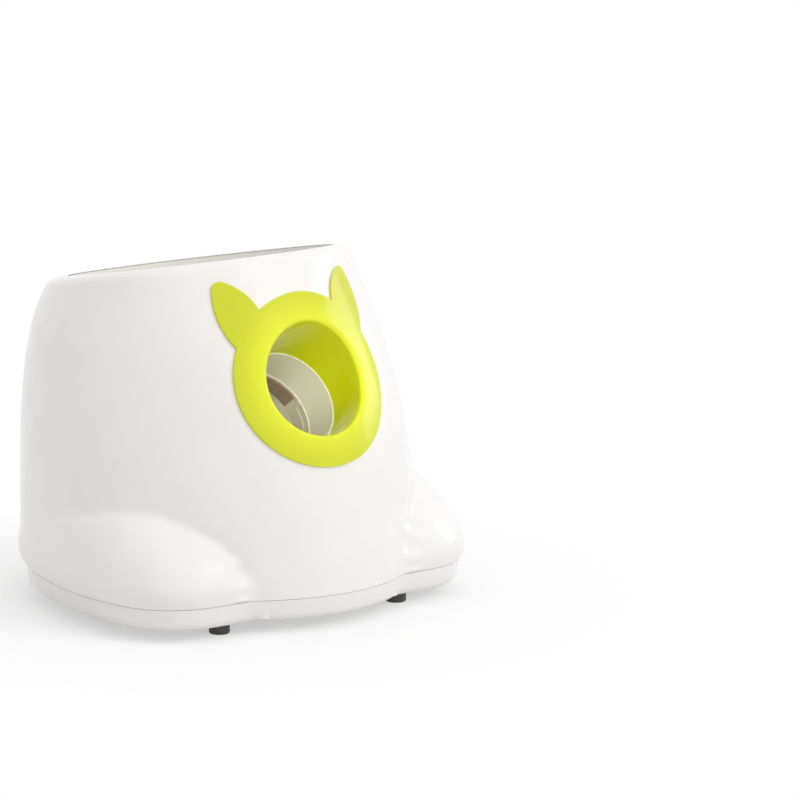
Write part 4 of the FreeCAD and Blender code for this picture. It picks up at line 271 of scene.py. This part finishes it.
# ---- finishes --------------------------------------------------------------------------------
def moulded_gloss(name, colour, roughness, glow=0.0):
    """Gloss ABS, injection moulded against a polished tool.

    Its highlights are sharp but swim a little, from the faint ripple of the moulding, and its
    gloss is patchy where hands have been.
    """
    material, tree, output = new_material(name)
    place = coordinates(tree)
    smear = noise(tree, place, size_mm=38.0, detail=3.0)
    ripple = noise(tree, place, size_mm=9.0, detail=1.0)
    rough = ramp(tree, smear, 0.3, 0.7, roughness * 0.85, roughness * 1.3)
    tone = mix_colour(tree, shade(colour, 1.0), shade(colour, 0.965),
                      ramp(tree, smear, 0.35, 0.75, 0.0, 1.0))
    settings = {"IOR": 1.52, "Coat Weight": 0.25, "Coat Roughness": 0.06}
    if glow:
        settings["Subsurface Weight"] = glow
        settings["Subsurface Radius"] = (0.004, 0.0045, 0.0012)
        settings["Subsurface Scale"] = 0.6
    shader(tree, output, settings, {
        "Base Color": tone, "Roughness": rough, "Normal": bump(tree, ripple, distance_mm=0.012)})
    return material


def moulded_satin(name, colour, roughness, grain_mm=0.45, relief_mm=0.02):
    """ABS or polypropylene from a spark-eroded tool.

    A fine even grain breaks the highlight up and leaves a soft sheen.
    """
    material, tree, output = new_material(name)
    place = coordinates(tree)
    grain = noise(tree, place, size_mm=grain_mm, detail=2.0, roughness=0.6)
    patch = noise(tree, place, size_mm=22.0, detail=2.0)
    tone = mix_colour(tree, shade(colour, 1.03), shade(colour, 0.93),
                      ramp(tree, patch, 0.3, 0.7, 0.0, 1.0))
    rough = ramp(tree, grain, 0.3, 0.7, roughness * 0.9, min(1.0, roughness * 1.15))
    shader(tree, output, {"IOR": 1.5}, {
        "Base Color": tone, "Roughness": rough, "Normal": bump(tree, grain, distance_mm=relief_mm)})
    return material


def soft_rubber(name, colour, roughness=0.62):
    """Moulded rubber: a dull bloom, paler where it has been rubbed."""
    material, tree, output = new_material(name)
    place = coordinates(tree)
    bloom = noise(tree, place, size_mm=3.5, detail=4.0, roughness=0.65)
    grain = noise(tree, place, size_mm=0.35, detail=2.0)
    tone = mix_colour(tree, shade(colour, 0.85), shade(colour, 1.35),
                      ramp(tree, bloom, 0.35, 0.75, 0.0, 1.0))
    rough = ramp(tree, bloom, 0.3, 0.7, roughness * 0.9, roughness * 1.15)
    shader(tree, output, {"IOR": 1.52, "Sheen Weight": 0.08, "Sheen Roughness": 0.5}, {
        "Base Color": tone, "Roughness": rough, "Normal": bump(tree, grain, distance_mm=0.02)})
    return material


def pressed_felt(name, colour):
    """Pressed wool felt with a soft nap.

    Its fibres are drawn about 0.3 mm across, coarser than they are, so that they can be seen.
    """
    material, tree, output = new_material(name)
    place = coordinates(tree)
    stretched = add_node(tree, "ShaderNodeMapping", {"Scale": (1.0, 2.6, 1.0)},
                         {"Vector": place}).outputs[0]
    fibres = noise(tree, stretched, size_mm=0.8, detail=6.0, roughness=0.7)
    clumps = noise(tree, place, size_mm=3.0, detail=2.0)
    tone = mix_colour(tree, shade(colour, 0.7), shade(colour, 1.35), fibres)
    rough = ramp(tree, clumps, 0.2, 0.8, 0.85, 1.0)
    shader(tree, output, {"Sheen Weight": 0.35, "Sheen Roughness": 0.7}, {
        "Base Color": tone, "Roughness": rough, "Normal": bump(tree, fibres, distance_mm=0.18)})
    return material


def turned_metal(name, colour, roughness, line_mm=0.18):
    """Plated or bare metal with the fine lines that turning or drawing leaves along X."""
    material, tree, output = new_material(name)
    place = coordinates(tree)
    drawn = add_node(tree, "ShaderNodeMapping", {"Scale": (1.0, 0.08, 0.08)},
                     {"Vector": place}).outputs[0]
    lines = noise(tree, drawn, size_mm=line_mm, detail=2.0)
    spots = noise(tree, place, size_mm=6.0, detail=3.0)
    rough = ramp(tree, spots, 0.3, 0.7, roughness * 0.8, roughness * 1.3)
    tone = mix_colour(tree, shade(colour, 1.05), shade(colour, 0.88), spots)
    shader(tree, output, {"Metallic": 1.0, "Anisotropic": 0.35}, {
        "Base Color": tone, "Roughness": rough, "Normal": bump(tree, lines, distance_mm=0.006)})
    return material


def galvanised_sheet(name, colour):
    """Zinc-coated sheet steel: spangle of 5 mm crystals that catch the light one by one."""
    material, tree, output = new_material(name)
    place = coordinates(tree)
    crystal = add_node(tree, "ShaderNodeTexVoronoi", {"Scale": per_mm(5.0)}, {"Vector": place})
    grey = add_node(tree, "ShaderNodeSeparateColor", None,
                    {"Color": crystal.outputs["Color"]}).outputs[0]
    tone = mix_colour(tree, shade(colour, 0.82), shade(colour, 1.08), grey)
    rough = ramp(tree, grey, 0.0, 1.0, 0.28, 0.5)
    shader(tree, output, {"Metallic": 1.0}, {
        "Base Color": tone, "Roughness": rough,
        "Normal": bump(tree, crystal.outputs["Distance"], distance_mm=0.01)})
    return material


def acetal(name, colour):
    """Moulded acetal gears: waxy white with a slight see-through depth."""
    material, tree, output = new_material(name)
    place = coordinates(tree)
    wax = noise(tree, place, size_mm=5.0, detail=2.0)
    tone = mix_colour(tree, shade(colour, 1.0), shade(colour, 0.92), wax)
    shader(tree, output, {
        "IOR": 1.48, "Subsurface Weight": 0.15, "Subsurface Radius": (0.002, 0.002, 0.0018),
        "Subsurface Scale": 0.5}, {
        "Base Color": tone, "Roughness": ramp(tree, wax, 0.3, 0.7, 0.3, 0.42),
        "Normal": bump(tree, wax, distance_mm=0.01)})
    return material


def cell_wrap(name, jacket, band):
    """Shrink film round a cell: a bright band at one end and tiny pulls in the film."""
    material, tree, output = new_material(name)
    place = coordinates(tree)
    across = add_node(tree, "ShaderNodeSeparateXYZ", None, {"Vector": place}).outputs["X"]
    size = add_node(tree, "ShaderNodeMath", {"operation": "ABSOLUTE"}, {0: across}).outputs[0]
    at_end = add_node(tree, "ShaderNodeMath", {"operation": "GREATER_THAN", 1: CELL_BAND_START},
                      {0: size}).outputs[0]
    pulls = noise(tree, place, size_mm=1.6, detail=3.0)
    tone = mix_colour(tree, shade(jacket, 1.0), shade(band, 1.0), at_end)
    shader(tree, output, {"Metallic": 0.25, "Coat Weight": 0.5, "Coat Roughness": 0.1}, {
        "Base Color": tone, "Roughness": ramp(tree, pulls, 0.3, 0.7, 0.25, 0.4),
        "Normal": bump(tree, pulls, distance_mm=0.02)})
    return material


def solder_mask(name, colour):
    """Glass-fibre board under green solder mask, with the copper tracks showing as paler lines."""
    material, tree, output = new_material(name)
    place = coordinates(tree)
    tracks = add_node(tree, "ShaderNodeTexBrick", {
        "Scale": per_mm(9.0), "Mortar Size": 0.035, "Color1": (0, 0, 0, 1), "Color2": (0, 0, 0, 1),
        "Mortar": (1, 1, 1, 1)}, {"Vector": swizzled(tree, place)}).outputs["Fac"]
    tone = mix_colour(tree, shade(colour, 0.9), shade(colour, 1.7), tracks)
    shader(tree, output, {"Coat Weight": 0.6, "Coat Roughness": 0.15, "Roughness": 0.42}, {
        "Base Color": tone, "Normal": bump(tree, tracks, distance_mm=0.03)})
    return material


def swizzled(tree, place):
    """Object coordinates with Y and Z exchanged, for a pattern that lies on an upright board."""
    parts = add_node(tree, "ShaderNodeSeparateXYZ", None, {"Vector": place})
    return add_node(tree, "ShaderNodeCombineXYZ", None, {
        "X": parts.outputs["X"], "Y": parts.outputs["Z"], "Z": parts.outputs["Y"]}).outputs[0]


def clear_lens(name, colour):
    """Polycarbonate light pipe: clear, with a faint tint and a moulded sparkle."""
    material, tree, output = new_material(name)
    place = coordinates(tree)
    grain = noise(tree, place, size_mm=0.6, detail=1.0)
    shader(tree, output, {"IOR": 1.58, "Transmission Weight": 0.75}, {
        "Base Color": mix_colour(tree, shade(colour, 1.0), shade(colour, 0.9), grain),
        "Roughness": ramp(tree, grain, 0.3, 0.7, 0.08, 0.2)})
    return material


# ---- mesh helpers ----------------------------------------------------------------------------
def finish_piece(mesh, name, material, body, recalculate=True):
    """Turns a bmesh into a piece that rides on a body of the frame.

    Recalculate is off for a copy of a solid's mesh, whose faces already point outwards.
    """
    bmesh.ops.remove_doubles(mesh, verts=mesh.verts, dist=MERGE_DISTANCE)
    if recalculate:
        bmesh.ops.recalc_face_normals(mesh, faces=mesh.faces)
    data = bpy.data.meshes.new(name)
    mesh.to_mesh(data)
    mesh.free()
    for face in data.polygons:
        face.use_smooth = True
    data.materials.append(material)
    piece = bpy.data.objects.new(name, data)
    bpy.context.scene.collection.objects.link(piece)
    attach(piece, body)
    return piece


def flat_ring(mesh, centre, inner, outer, thickness, edge):
    """A washer round the upright axis, with rounded rims."""
    outline = bmesh.ops.create_circle(mesh, segments=RING_SEGMENTS, radius=outer)["verts"]
    hole = bmesh.ops.create_circle(mesh, segments=RING_SEGMENTS, radius=inner)["verts"]
    rims = list({e for v in outline + hole for e in v.link_edges})
    faces = bmesh.ops.bridge_loops(mesh, edges=rims)["faces"]
    raised = bmesh.ops.extrude_face_region(mesh, geom=faces, use_keep_orig=True)["geom"]
    top = [item for item in raised if isinstance(item, bmesh.types.BMVert)]
    bmesh.ops.translate(mesh, vec=Vector((0, 0, thickness)), verts=top)
    verts = outline + hole + top
    sharp = [e for e in {e for v in verts for e in v.link_edges} if e.calc_face_angle(0.0) > 1.0]
    made = bmesh.ops.bevel(
        mesh, geom=sharp, offset=edge, offset_type="OFFSET", segments=EDGE_SEGMENTS,
        profile=0.5, affect="EDGES", material=-1)
    verts = list({v for v in verts if v.is_valid} | set(made["verts"]))
    bmesh.ops.translate(mesh, vec=Vector(centre), verts=verts)


def rear_surface(node, x, z):
    """The point where a node's rear face lies at a width and height."""
    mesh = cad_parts[node].data
    tree = BVHTree.FromPolygons([v.co for v in mesh.vertices], [p.vertices for p in mesh.polygons])
    return tree.ray_cast(Vector((x, 1.0, z)), Vector((0, -1, 0)))[0]


def rounded_bar(mesh, centre, size, edge):
    """A block with rounded edges, from a cube that is scaled and bevelled."""
    made = bmesh.ops.create_cube(mesh, size=1.0)
    verts = made["verts"]
    bmesh.ops.scale(mesh, vec=Vector(size), verts=verts)
    bmesh.ops.translate(mesh, vec=Vector(centre), verts=verts)
    edges = list({e for v in verts for e in v.link_edges})
    bmesh.ops.bevel(
        mesh, geom=edges, offset=edge, offset_type="OFFSET", segments=EDGE_SEGMENTS,
        profile=0.5, affect="EDGES", material=-1)


# ---- finishes of the solids ------------------------------------------------------------------
def paint(material, *names, crease=32.0):
    """Gives CAD nodes their finish, and shades them smooth up to a crease angle in degrees."""
    for name in names:
        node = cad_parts[name]
        node.data.materials.clear()
        node.data.materials.append(material)
        for face in node.data.polygons:
            face.use_smooth = True
        weld = node.modifiers.new("Weld", "WELD")
        weld.merge_threshold = WELD_DISTANCE
        split = node.modifiers.new("Creases", "EDGE_SPLIT")
        split.split_angle = math.radians(crease)
        split.use_edge_sharp = False


# ---- operators -------------------------------------------------------------------------------
class LAUNCHER_OT_housing(bpy.types.Operator):
    """Gloss white bell, base band and battery doors"""
    bl_idname = "launcher.housing"
    bl_label = "Housing"

    def execute(self, context):
        colours = context.scene.launcher_colours
        white = moulded_gloss("Gloss ABS white", colours.shell, roughness=0.2)
        paint(white, "upper_shell", "base_tray")
        doors = moulded_satin("Textured ABS white", shade(colours.shell, 0.96), roughness=0.42,
                              grain_mm=0.6, relief_mm=0.03)
        paint(doors, "battery_door_left", "battery_door_right")
        bowl = moulded_gloss("Gloss ABS hopper", colours.bowl, roughness=0.3)
        paint(bowl, "hopper_bowl")
        return {"FINISHED"}


class LAUNCHER_OT_mouth(bpy.types.Operator):
    """Lime ring with ears, liner, cradle, and what is seen down the tube"""
    bl_idname = "launcher.mouth"
    bl_label = "Mouth"

    def execute(self, context):
        colours = context.scene.launcher_colours
        paint(moulded_gloss("Gloss ABS lime", colours.trim, roughness=0.14, glow=0.12),
              "mouth_trim")
        paint(moulded_gloss("ABS liner ivory", colours.liner, roughness=0.34), "mouth_liner")
        paint(moulded_satin("Polypropylene cradle", colours.cradle, roughness=0.46), "ball_cradle")
        paint(moulded_satin("Polycarbonate sensor window", shade(colours.cradle, 0.92),
                            roughness=0.3), "ball_sensors")
        paint(soft_rubber("Nitrile rubber black", colours.rubber), "stop_bumper", "hammer_pad")
        paint(soft_rubber("Silicone", colours.gasket, roughness=0.5), "tube_gasket")
        paint(pressed_felt("Pressed wool felt", colours.felt), "felt_pads")
        return {"FINISHED"}


class LAUNCHER_OT_feet(bpy.types.Operator):
    """Rubber feet, each with a collar just under the base"""
    bl_idname = "launcher.feet"
    bl_label = "Feet"

    def execute(self, context):
        colours = context.scene.launcher_colours
        sizes = context.scene.launcher_sizes
        rubber = soft_rubber("Soft rubber foot", colours.feet, roughness=0.55)
        paint(rubber, "rubber_feet")
        mesh = bmesh.new()
        low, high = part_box("rubber_feet")
        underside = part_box("base_tray")[0][2]
        radius = FOOT_RADIUS
        for x in (low[0] + radius, high[0] - radius):
            for y in (low[1] + radius, high[1] - radius):
                flat_ring(mesh, (x, y, underside - COLLAR_DROP), radius - COLLAR_LAP,
                          radius + sizes.foot_collar, COLLAR_THICKNESS, COLLAR_EDGE)
        finish_piece(mesh, "foot_collars", rubber, "housing")
        return {"FINISHED"}


class LAUNCHER_OT_drive(bpy.types.Operator):
    """Hammer, gear train, plates and motor"""
    bl_idname = "launcher.drive"
    bl_label = "Drive"

    def execute(self, context):
        steel = turned_metal("Zinc-plated steel", linear("c3c6ca"), roughness=0.3)
        spring = turned_metal("Music wire", linear("8f9398"), roughness=0.35)
        brass = turned_metal("Turned brass", linear("c9a45a"), roughness=0.25)
        sheet = galvanised_sheet("Galvanised sheet", linear("b4bac0"))
        paint(steel, "hammer_axle", "axle_clip", "motor_shaft", "gear_shafts", "gear_spacers",
              "motor_screws", "spacer_screws", "flange_screws", "door_screws", "housing_screws",
              "board_screws")
        paint(spring, "hammer_spring")
        paint(brass, "axle_bushes", "motor_pinion")
        paint(sheet, "left_bracket", "inner_plate", "middle_plate", "outer_plate")
        paint(moulded_satin("Glass-filled nylon hammer", linear("c9c3a8"), roughness=0.5,
                            grain_mm=0.8, relief_mm=0.04), "hammer_arm")
        paint(acetal("Acetal gear white", linear("efeee6")), "drive_gear", "second_gear",
              "first_gear")
        paint(turned_metal("Nickel-plated can", linear("a5aab0"), roughness=0.32, line_mm=0.5),
              "motor")
        self.pad_ribs(context)
        return {"FINISHED"}

    def pad_ribs(self, context):
        """Raised ribs across the pad that meets the ball."""
        pitch = context.scene.launcher_sizes.rib_pitch
        low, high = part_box("hammer_pad")
        middle = Vector(((low[0] + high[0]) / 2, (low[1] + high[1]) / 2, high[2]))
        wide = (high[0] - low[0]) * RIB_SHARE
        mesh = bmesh.new()
        for step in RIB_STEPS:
            place = middle + Vector((0, step * pitch, 0))
            rounded_bar(mesh, place, (wide, RIB_WIDTH, RIB_HEIGHT), RIB_EDGE)
        rubber = soft_rubber("Nitrile rubber rib", context.scene.launcher_colours.rubber)
        finish_piece(mesh, "hammer_pad_ribs", rubber, "hammer")


class LAUNCHER_OT_batteries(bpy.types.Operator):
    """Cells, their contacts and holders"""
    bl_idname = "launcher.batteries"
    bl_label = "Batteries"

    def execute(self, context):
        paint(cell_wrap("Cell shrink film", linear("33373d"), linear("c08a3a")),
              "battery_cells_left", "battery_cells_right")
        paint(turned_metal("Nickel contact strip", linear("c6c2b6"), roughness=0.28),
              "battery_contacts_left", "battery_contacts_right")
        paint(moulded_satin("Black ABS holder", linear("2c2d30"), roughness=0.5),
              "battery_holder_left", "battery_holder_right")
        return {"FINISHED"}


class LAUNCHER_OT_controls(bpy.types.Operator):
    """Rear panel, buttons with raised marks, lamps, inlet and board"""
    bl_idname = "launcher.controls"
    bl_label = "Controls"

    def execute(self, context):
        colours = context.scene.launcher_colours
        sizes = context.scene.launcher_sizes
        dark = moulded_satin("Textured ABS panel", colours.panel, roughness=0.45, grain_mm=0.5,
                             relief_mm=0.03)
        lime = moulded_gloss("Gloss ABS button", colours.trim, roughness=0.18)
        black = moulded_satin("Black nylon", linear("1f2023"), roughness=0.45)
        paint(dark, "control_bezel")
        paint(lime, "power_button", "distance_button")
        paint(black, "dc_jack", "tact_switches", "buzzer", "position_sensor", "board_parts")
        paint(solder_mask("Solder mask green", linear("1f5b3a")), "control_board")
        paint(clear_lens("Polycarbonate light pipe", linear("e8f4e2")), "light_pipes",
              "status_lamps")
        white = moulded_satin("Printed mark", linear("f4f4f0"), roughness=0.4)
        self.power_mark(white, sizes)
        self.distance_marks(white)
        self.polarity_mark(white)
        silicone = soft_rubber("Silicone dome", colours.gasket, roughness=0.5)
        self.dome(silicone, "power_dome", "power_button_press", -1)
        self.dome(silicone, "distance_dome", "distance_button_press", 1)
        return {"FINISHED"}

    def dome(self, material, name, joint, side):
        """One of the two silicone domes under the buttons, cut from the CAD node that holds both.
        """
        mesh = bmesh.new()
        mesh.from_mesh(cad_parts["button_domes"].data)
        bmesh.ops.remove_doubles(mesh, verts=mesh.verts, dist=MERGE_DISTANCE)
        other_dome = [v for v in mesh.verts if v.co.x * side < 0]
        bmesh.ops.delete(mesh, geom=other_dome, context="VERTS")
        piece = finish_piece(mesh, name, material, "housing", recalculate=False)
        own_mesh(piece)
        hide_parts("button_domes")

    def polarity_mark(self, material):
        """The usual sign beside a DC inlet: minus outside, plus on the pin."""
        low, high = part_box("dc_jack")
        height = (low[2] + high[2]) / 2
        mesh = bmesh.new()
        for x, wide, tall in POLARITY_BARS:
            place = rear_surface("control_bezel", x * MM, height)
            rounded_bar(mesh, place, (wide * MM, POLARITY_DEPTH, tall * MM), POLARITY_EDGE)
        place = rear_surface("control_bezel", POLARITY_DOT_X, height)
        dot = bmesh.ops.create_uvsphere(
            mesh, u_segments=16, v_segments=8, radius=POLARITY_DOT_RADIUS)["verts"]
        bmesh.ops.scale(mesh, vec=Vector((1.0, POLARITY_DOT_FLATTEN, 1.0)), verts=dot)
        bmesh.ops.translate(mesh, vec=place, verts=dot)
        finish_piece(mesh, "polarity_mark", material, "housing")

    def power_mark(self, material, sizes):
        """A broken ring with a bar: the common sign for power."""
        low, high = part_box("power_button")
        centre = Vector(((low[0] + high[0]) / 2, high[1], (low[2] + high[2]) / 2))
        mesh = bmesh.new()
        half = POWER_LINE_HALF
        radius = sizes.mark_radius
        corners = []
        for out, up in ((-half, -half), (half, -half), (half, half), (-half, half)):
            corners.append(mesh.verts.new(centre + Vector((radius + out, up, 0.0))))
        face = mesh.faces.new(corners)
        start = Matrix.Rotation(POWER_RING_START, 3, "Y")
        bmesh.ops.rotate(mesh, cent=centre, matrix=start, verts=mesh.verts)
        section = [face] + list(face.edges) + list(face.verts)
        bmesh.ops.spin(mesh, geom=section, cent=centre, axis=(0, 1, 0), angle=POWER_RING_TURN,
                       steps=POWER_RING_STEPS, use_merge=False, use_duplicate=False)
        place = centre + Vector((0, 0, radius * POWER_BAR_RISE))
        rounded_bar(mesh, place, (POWER_BAR_WIDTH, MARK_DEPTH, radius * POWER_BAR_LENGTH),
                    MARK_EDGE)
        finish_piece(mesh, "power_mark", material, "power_button")

    def distance_marks(self, material):
        """Three bars of growing height, for near, middle and far."""
        low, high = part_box("distance_button")
        centre = Vector(((low[0] + high[0]) / 2, high[1], (low[2] + high[2]) / 2))
        mesh = bmesh.new()
        for step in range(3):
            tall = DISTANCE_BAR_LOWEST + DISTANCE_BAR_RISE * step
            place = centre + Vector(((1 - step) * DISTANCE_BAR_PITCH, 0,
                                     DISTANCE_BAR_FOOT + tall / 2))
            rounded_bar(mesh, place, (DISTANCE_BAR_WIDTH, MARK_DEPTH, tall), MARK_EDGE)
        finish_piece(mesh, "distance_marks", material, "distance_button")


def aimed(place, away):
    """Where a lamp stands whose back is turned to a direction."""
    return Matrix.Translation(place) @ away.to_track_quat("Z", "Y").to_matrix().to_4x4()


class LAUNCHER_OT_studio(bpy.types.Operator):
    """Pale floor, soft lights and the camera"""
    bl_idname = "launcher.studio"
    bl_label = "Studio"

    def execute(self, context):
        colours = context.scene.launcher_colours
        sizes = context.scene.launcher_sizes
        self.floor(colours, sizes)
        self.world(context)
        for softbox in SOFTBOXES:
            self.lamp(*softbox)
        self.mouth_lamp()
        self.camera(context)
        context.scene.view_settings.view_transform = "Standard"
        return {"FINISHED"}

    def floor(self, colours, sizes):
        """White sweep that keeps the shadow near the object and is plain white beyond it."""
        mesh = bmesh.new()
        bmesh.ops.create_circle(mesh, cap_ends=True, segments=96, radius=sizes.floor_radius)
        data = bpy.data.meshes.new("studio_floor")
        mesh.to_mesh(data)
        mesh.free()
        floor = bpy.data.objects.new("studio_floor", data)
        bpy.context.scene.collection.objects.link(floor)
        material, tree, output = new_material("White studio paper")
        place = coordinates(tree)
        fibre = noise(tree, place, size_mm=1.2, detail=3.0)
        white = tuple(colours.studio) + (1.0,)
        paper = add_node(tree, "ShaderNodeBsdfDiffuse", {"Roughness": 0.6}, {
            "Color": mix_colour(tree, shade(white, 0.86), shade(white, 0.9), fibre)})
        lit = add_node(tree, "ShaderNodeEmission", {"Color": white, "Strength": 1.0})
        distance = add_node(tree, "ShaderNodeVectorMath", {"operation": "LENGTH"},
                            {0: place}).outputs["Value"]
        fade = ramp(tree, distance, sizes.shadow_reach * SHADOW_CORE, sizes.shadow_reach, 0.5, 1.0)
        seen = background_rays(tree)
        share = add_node(tree, "ShaderNodeMath", {"operation": "MULTIPLY"},
                         {0: fade, 1: seen}).outputs[0]
        mixed = add_node(tree, "ShaderNodeMixShader", None, {
            0: share, 1: paper.outputs[0], 2: lit.outputs[0]})
        tree.links.new(mixed.outputs[0], output.inputs["Surface"])
        data.materials.append(material)

    def world(self, context):
        """Even light all round, white to the camera and in clear pieces, grey for gloss."""
        world = bpy.data.worlds.new("Studio air")
        context.scene.world = world
        world.use_nodes = True
        tree = world.node_tree
        tree.nodes.clear()
        output = tree.nodes.new("ShaderNodeOutputWorld")
        seen = background_rays(tree)
        air = add_node(tree, "ShaderNodeBackground",
                       {"Color": (1, 1, 1, 1), "Strength": AIR_STRENGTH})
        white = add_node(tree, "ShaderNodeBackground", {"Color": (1, 1, 1, 1), "Strength": 1.0})
        mixed = add_node(tree, "ShaderNodeMixShader", None,
                         {0: seen, 1: air.outputs[0], 2: white.outputs[0]})
        tree.links.new(mixed.outputs[0], output.inputs["Surface"])

    def mouth_lamp(self):
        """A narrow, soft-edged lamp that shines down the launch tube."""
        data = bpy.data.lights.new("Mouth lamp", "SPOT")
        data.energy = MOUTH_LAMP_POWER
        data.shadow_soft_size = MOUTH_LAMP_RADIUS
        data.spot_size = MOUTH_LAMP_ANGLE
        data.spot_blend = 1.0
        lamp = bpy.data.objects.new("Mouth lamp", data)
        bpy.context.scene.collection.objects.link(lamp)
        lamp.visible_glossy = False
        lamp.matrix_world = aimed(MOUTH_CENTRE + MOUTH_LAMP_OFFSET, MOUTH_LAMP_OFFSET)

    def lamp(self, name, place, target, size, power, mirrored):
        """A square softbox that faces its target. Unless mirrored, gloss doesn't show it."""
        data = bpy.data.lights.new(name, "AREA")
        data.shape = "SQUARE"
        data.size = size
        data.energy = power
        lamp = bpy.data.objects.new(name, data)
        lamp.visible_glossy = mirrored
        bpy.context.scene.collection.objects.link(lamp)
        lamp.matrix_world = aimed(Vector(place), Vector(place) - Vector(target))

    def camera(self, context):
        """A long lens a little above the launcher, from its front right."""
        turn, rise = CAMERA_TURN, CAMERA_RISE
        right = Vector((math.cos(turn), -math.sin(turn), 0.0))
        level = math.cos(rise)
        back = Vector((-level * math.sin(turn), -level * math.cos(turn), math.sin(rise)))
        up = back.cross(right)
        data = bpy.data.cameras.new("Catalogue camera")
        data.sensor_width = CAMERA_SENSOR
        data.lens = CAMERA_LENS
        data.clip_end = CAMERA_REACH
        camera = bpy.data.objects.new("Catalogue camera", data)
        context.scene.collection.objects.link(camera)
        place = Matrix.Translation(CAMERA_PLACE)
        camera.matrix_world = place @ Matrix((right, up, back)).transposed().to_4x4()
        context.scene.camera = camera


OPERATORS = (
    LAUNCHER_OT_housing, LAUNCHER_OT_mouth, LAUNCHER_OT_feet, LAUNCHER_OT_drive,
    LAUNCHER_OT_batteries,
    LAUNCHER_OT_controls, LAUNCHER_OT_studio,
)


class LAUNCHER_PT_sidebar(bpy.types.Panel):
    """Lists the launcher's pieces, colours and sizes"""
    bl_idname = "LAUNCHER_PT_sidebar"
    bl_label = "Dog Ball Launcher"
    bl_space_type = "VIEW_3D"
    bl_region_type = "UI"
    bl_category = "Launcher"

    def draw(self, context):
        for operator in OPERATORS:
            self.layout.operator(operator.bl_idname, text=operator.bl_label)
        for group in (context.scene.launcher_colours, context.scene.launcher_sizes):
            for name in group.__annotations__:
                self.layout.prop(group, name)


CLASSES = (LauncherColours, LauncherSizes) + OPERATORS + (LAUNCHER_PT_sidebar,)


def register():
    for made in CLASSES:
        bpy.utils.register_class(made)
    bpy.types.Scene.launcher_colours = bpy.props.PointerProperty(type=LauncherColours)
    bpy.types.Scene.launcher_sizes = bpy.props.PointerProperty(type=LauncherSizes)


def unregister():
    del bpy.types.Scene.launcher_sizes
    del bpy.types.Scene.launcher_colours
    for made in reversed(CLASSES):
        bpy.utils.unregister_class(made)


def main():
    register()
    for operator in OPERATORS:
        group, name = operator.bl_idname.split(".")
        getattr(getattr(bpy.ops, group), name)()


if __name__ == "__main__":
    main()
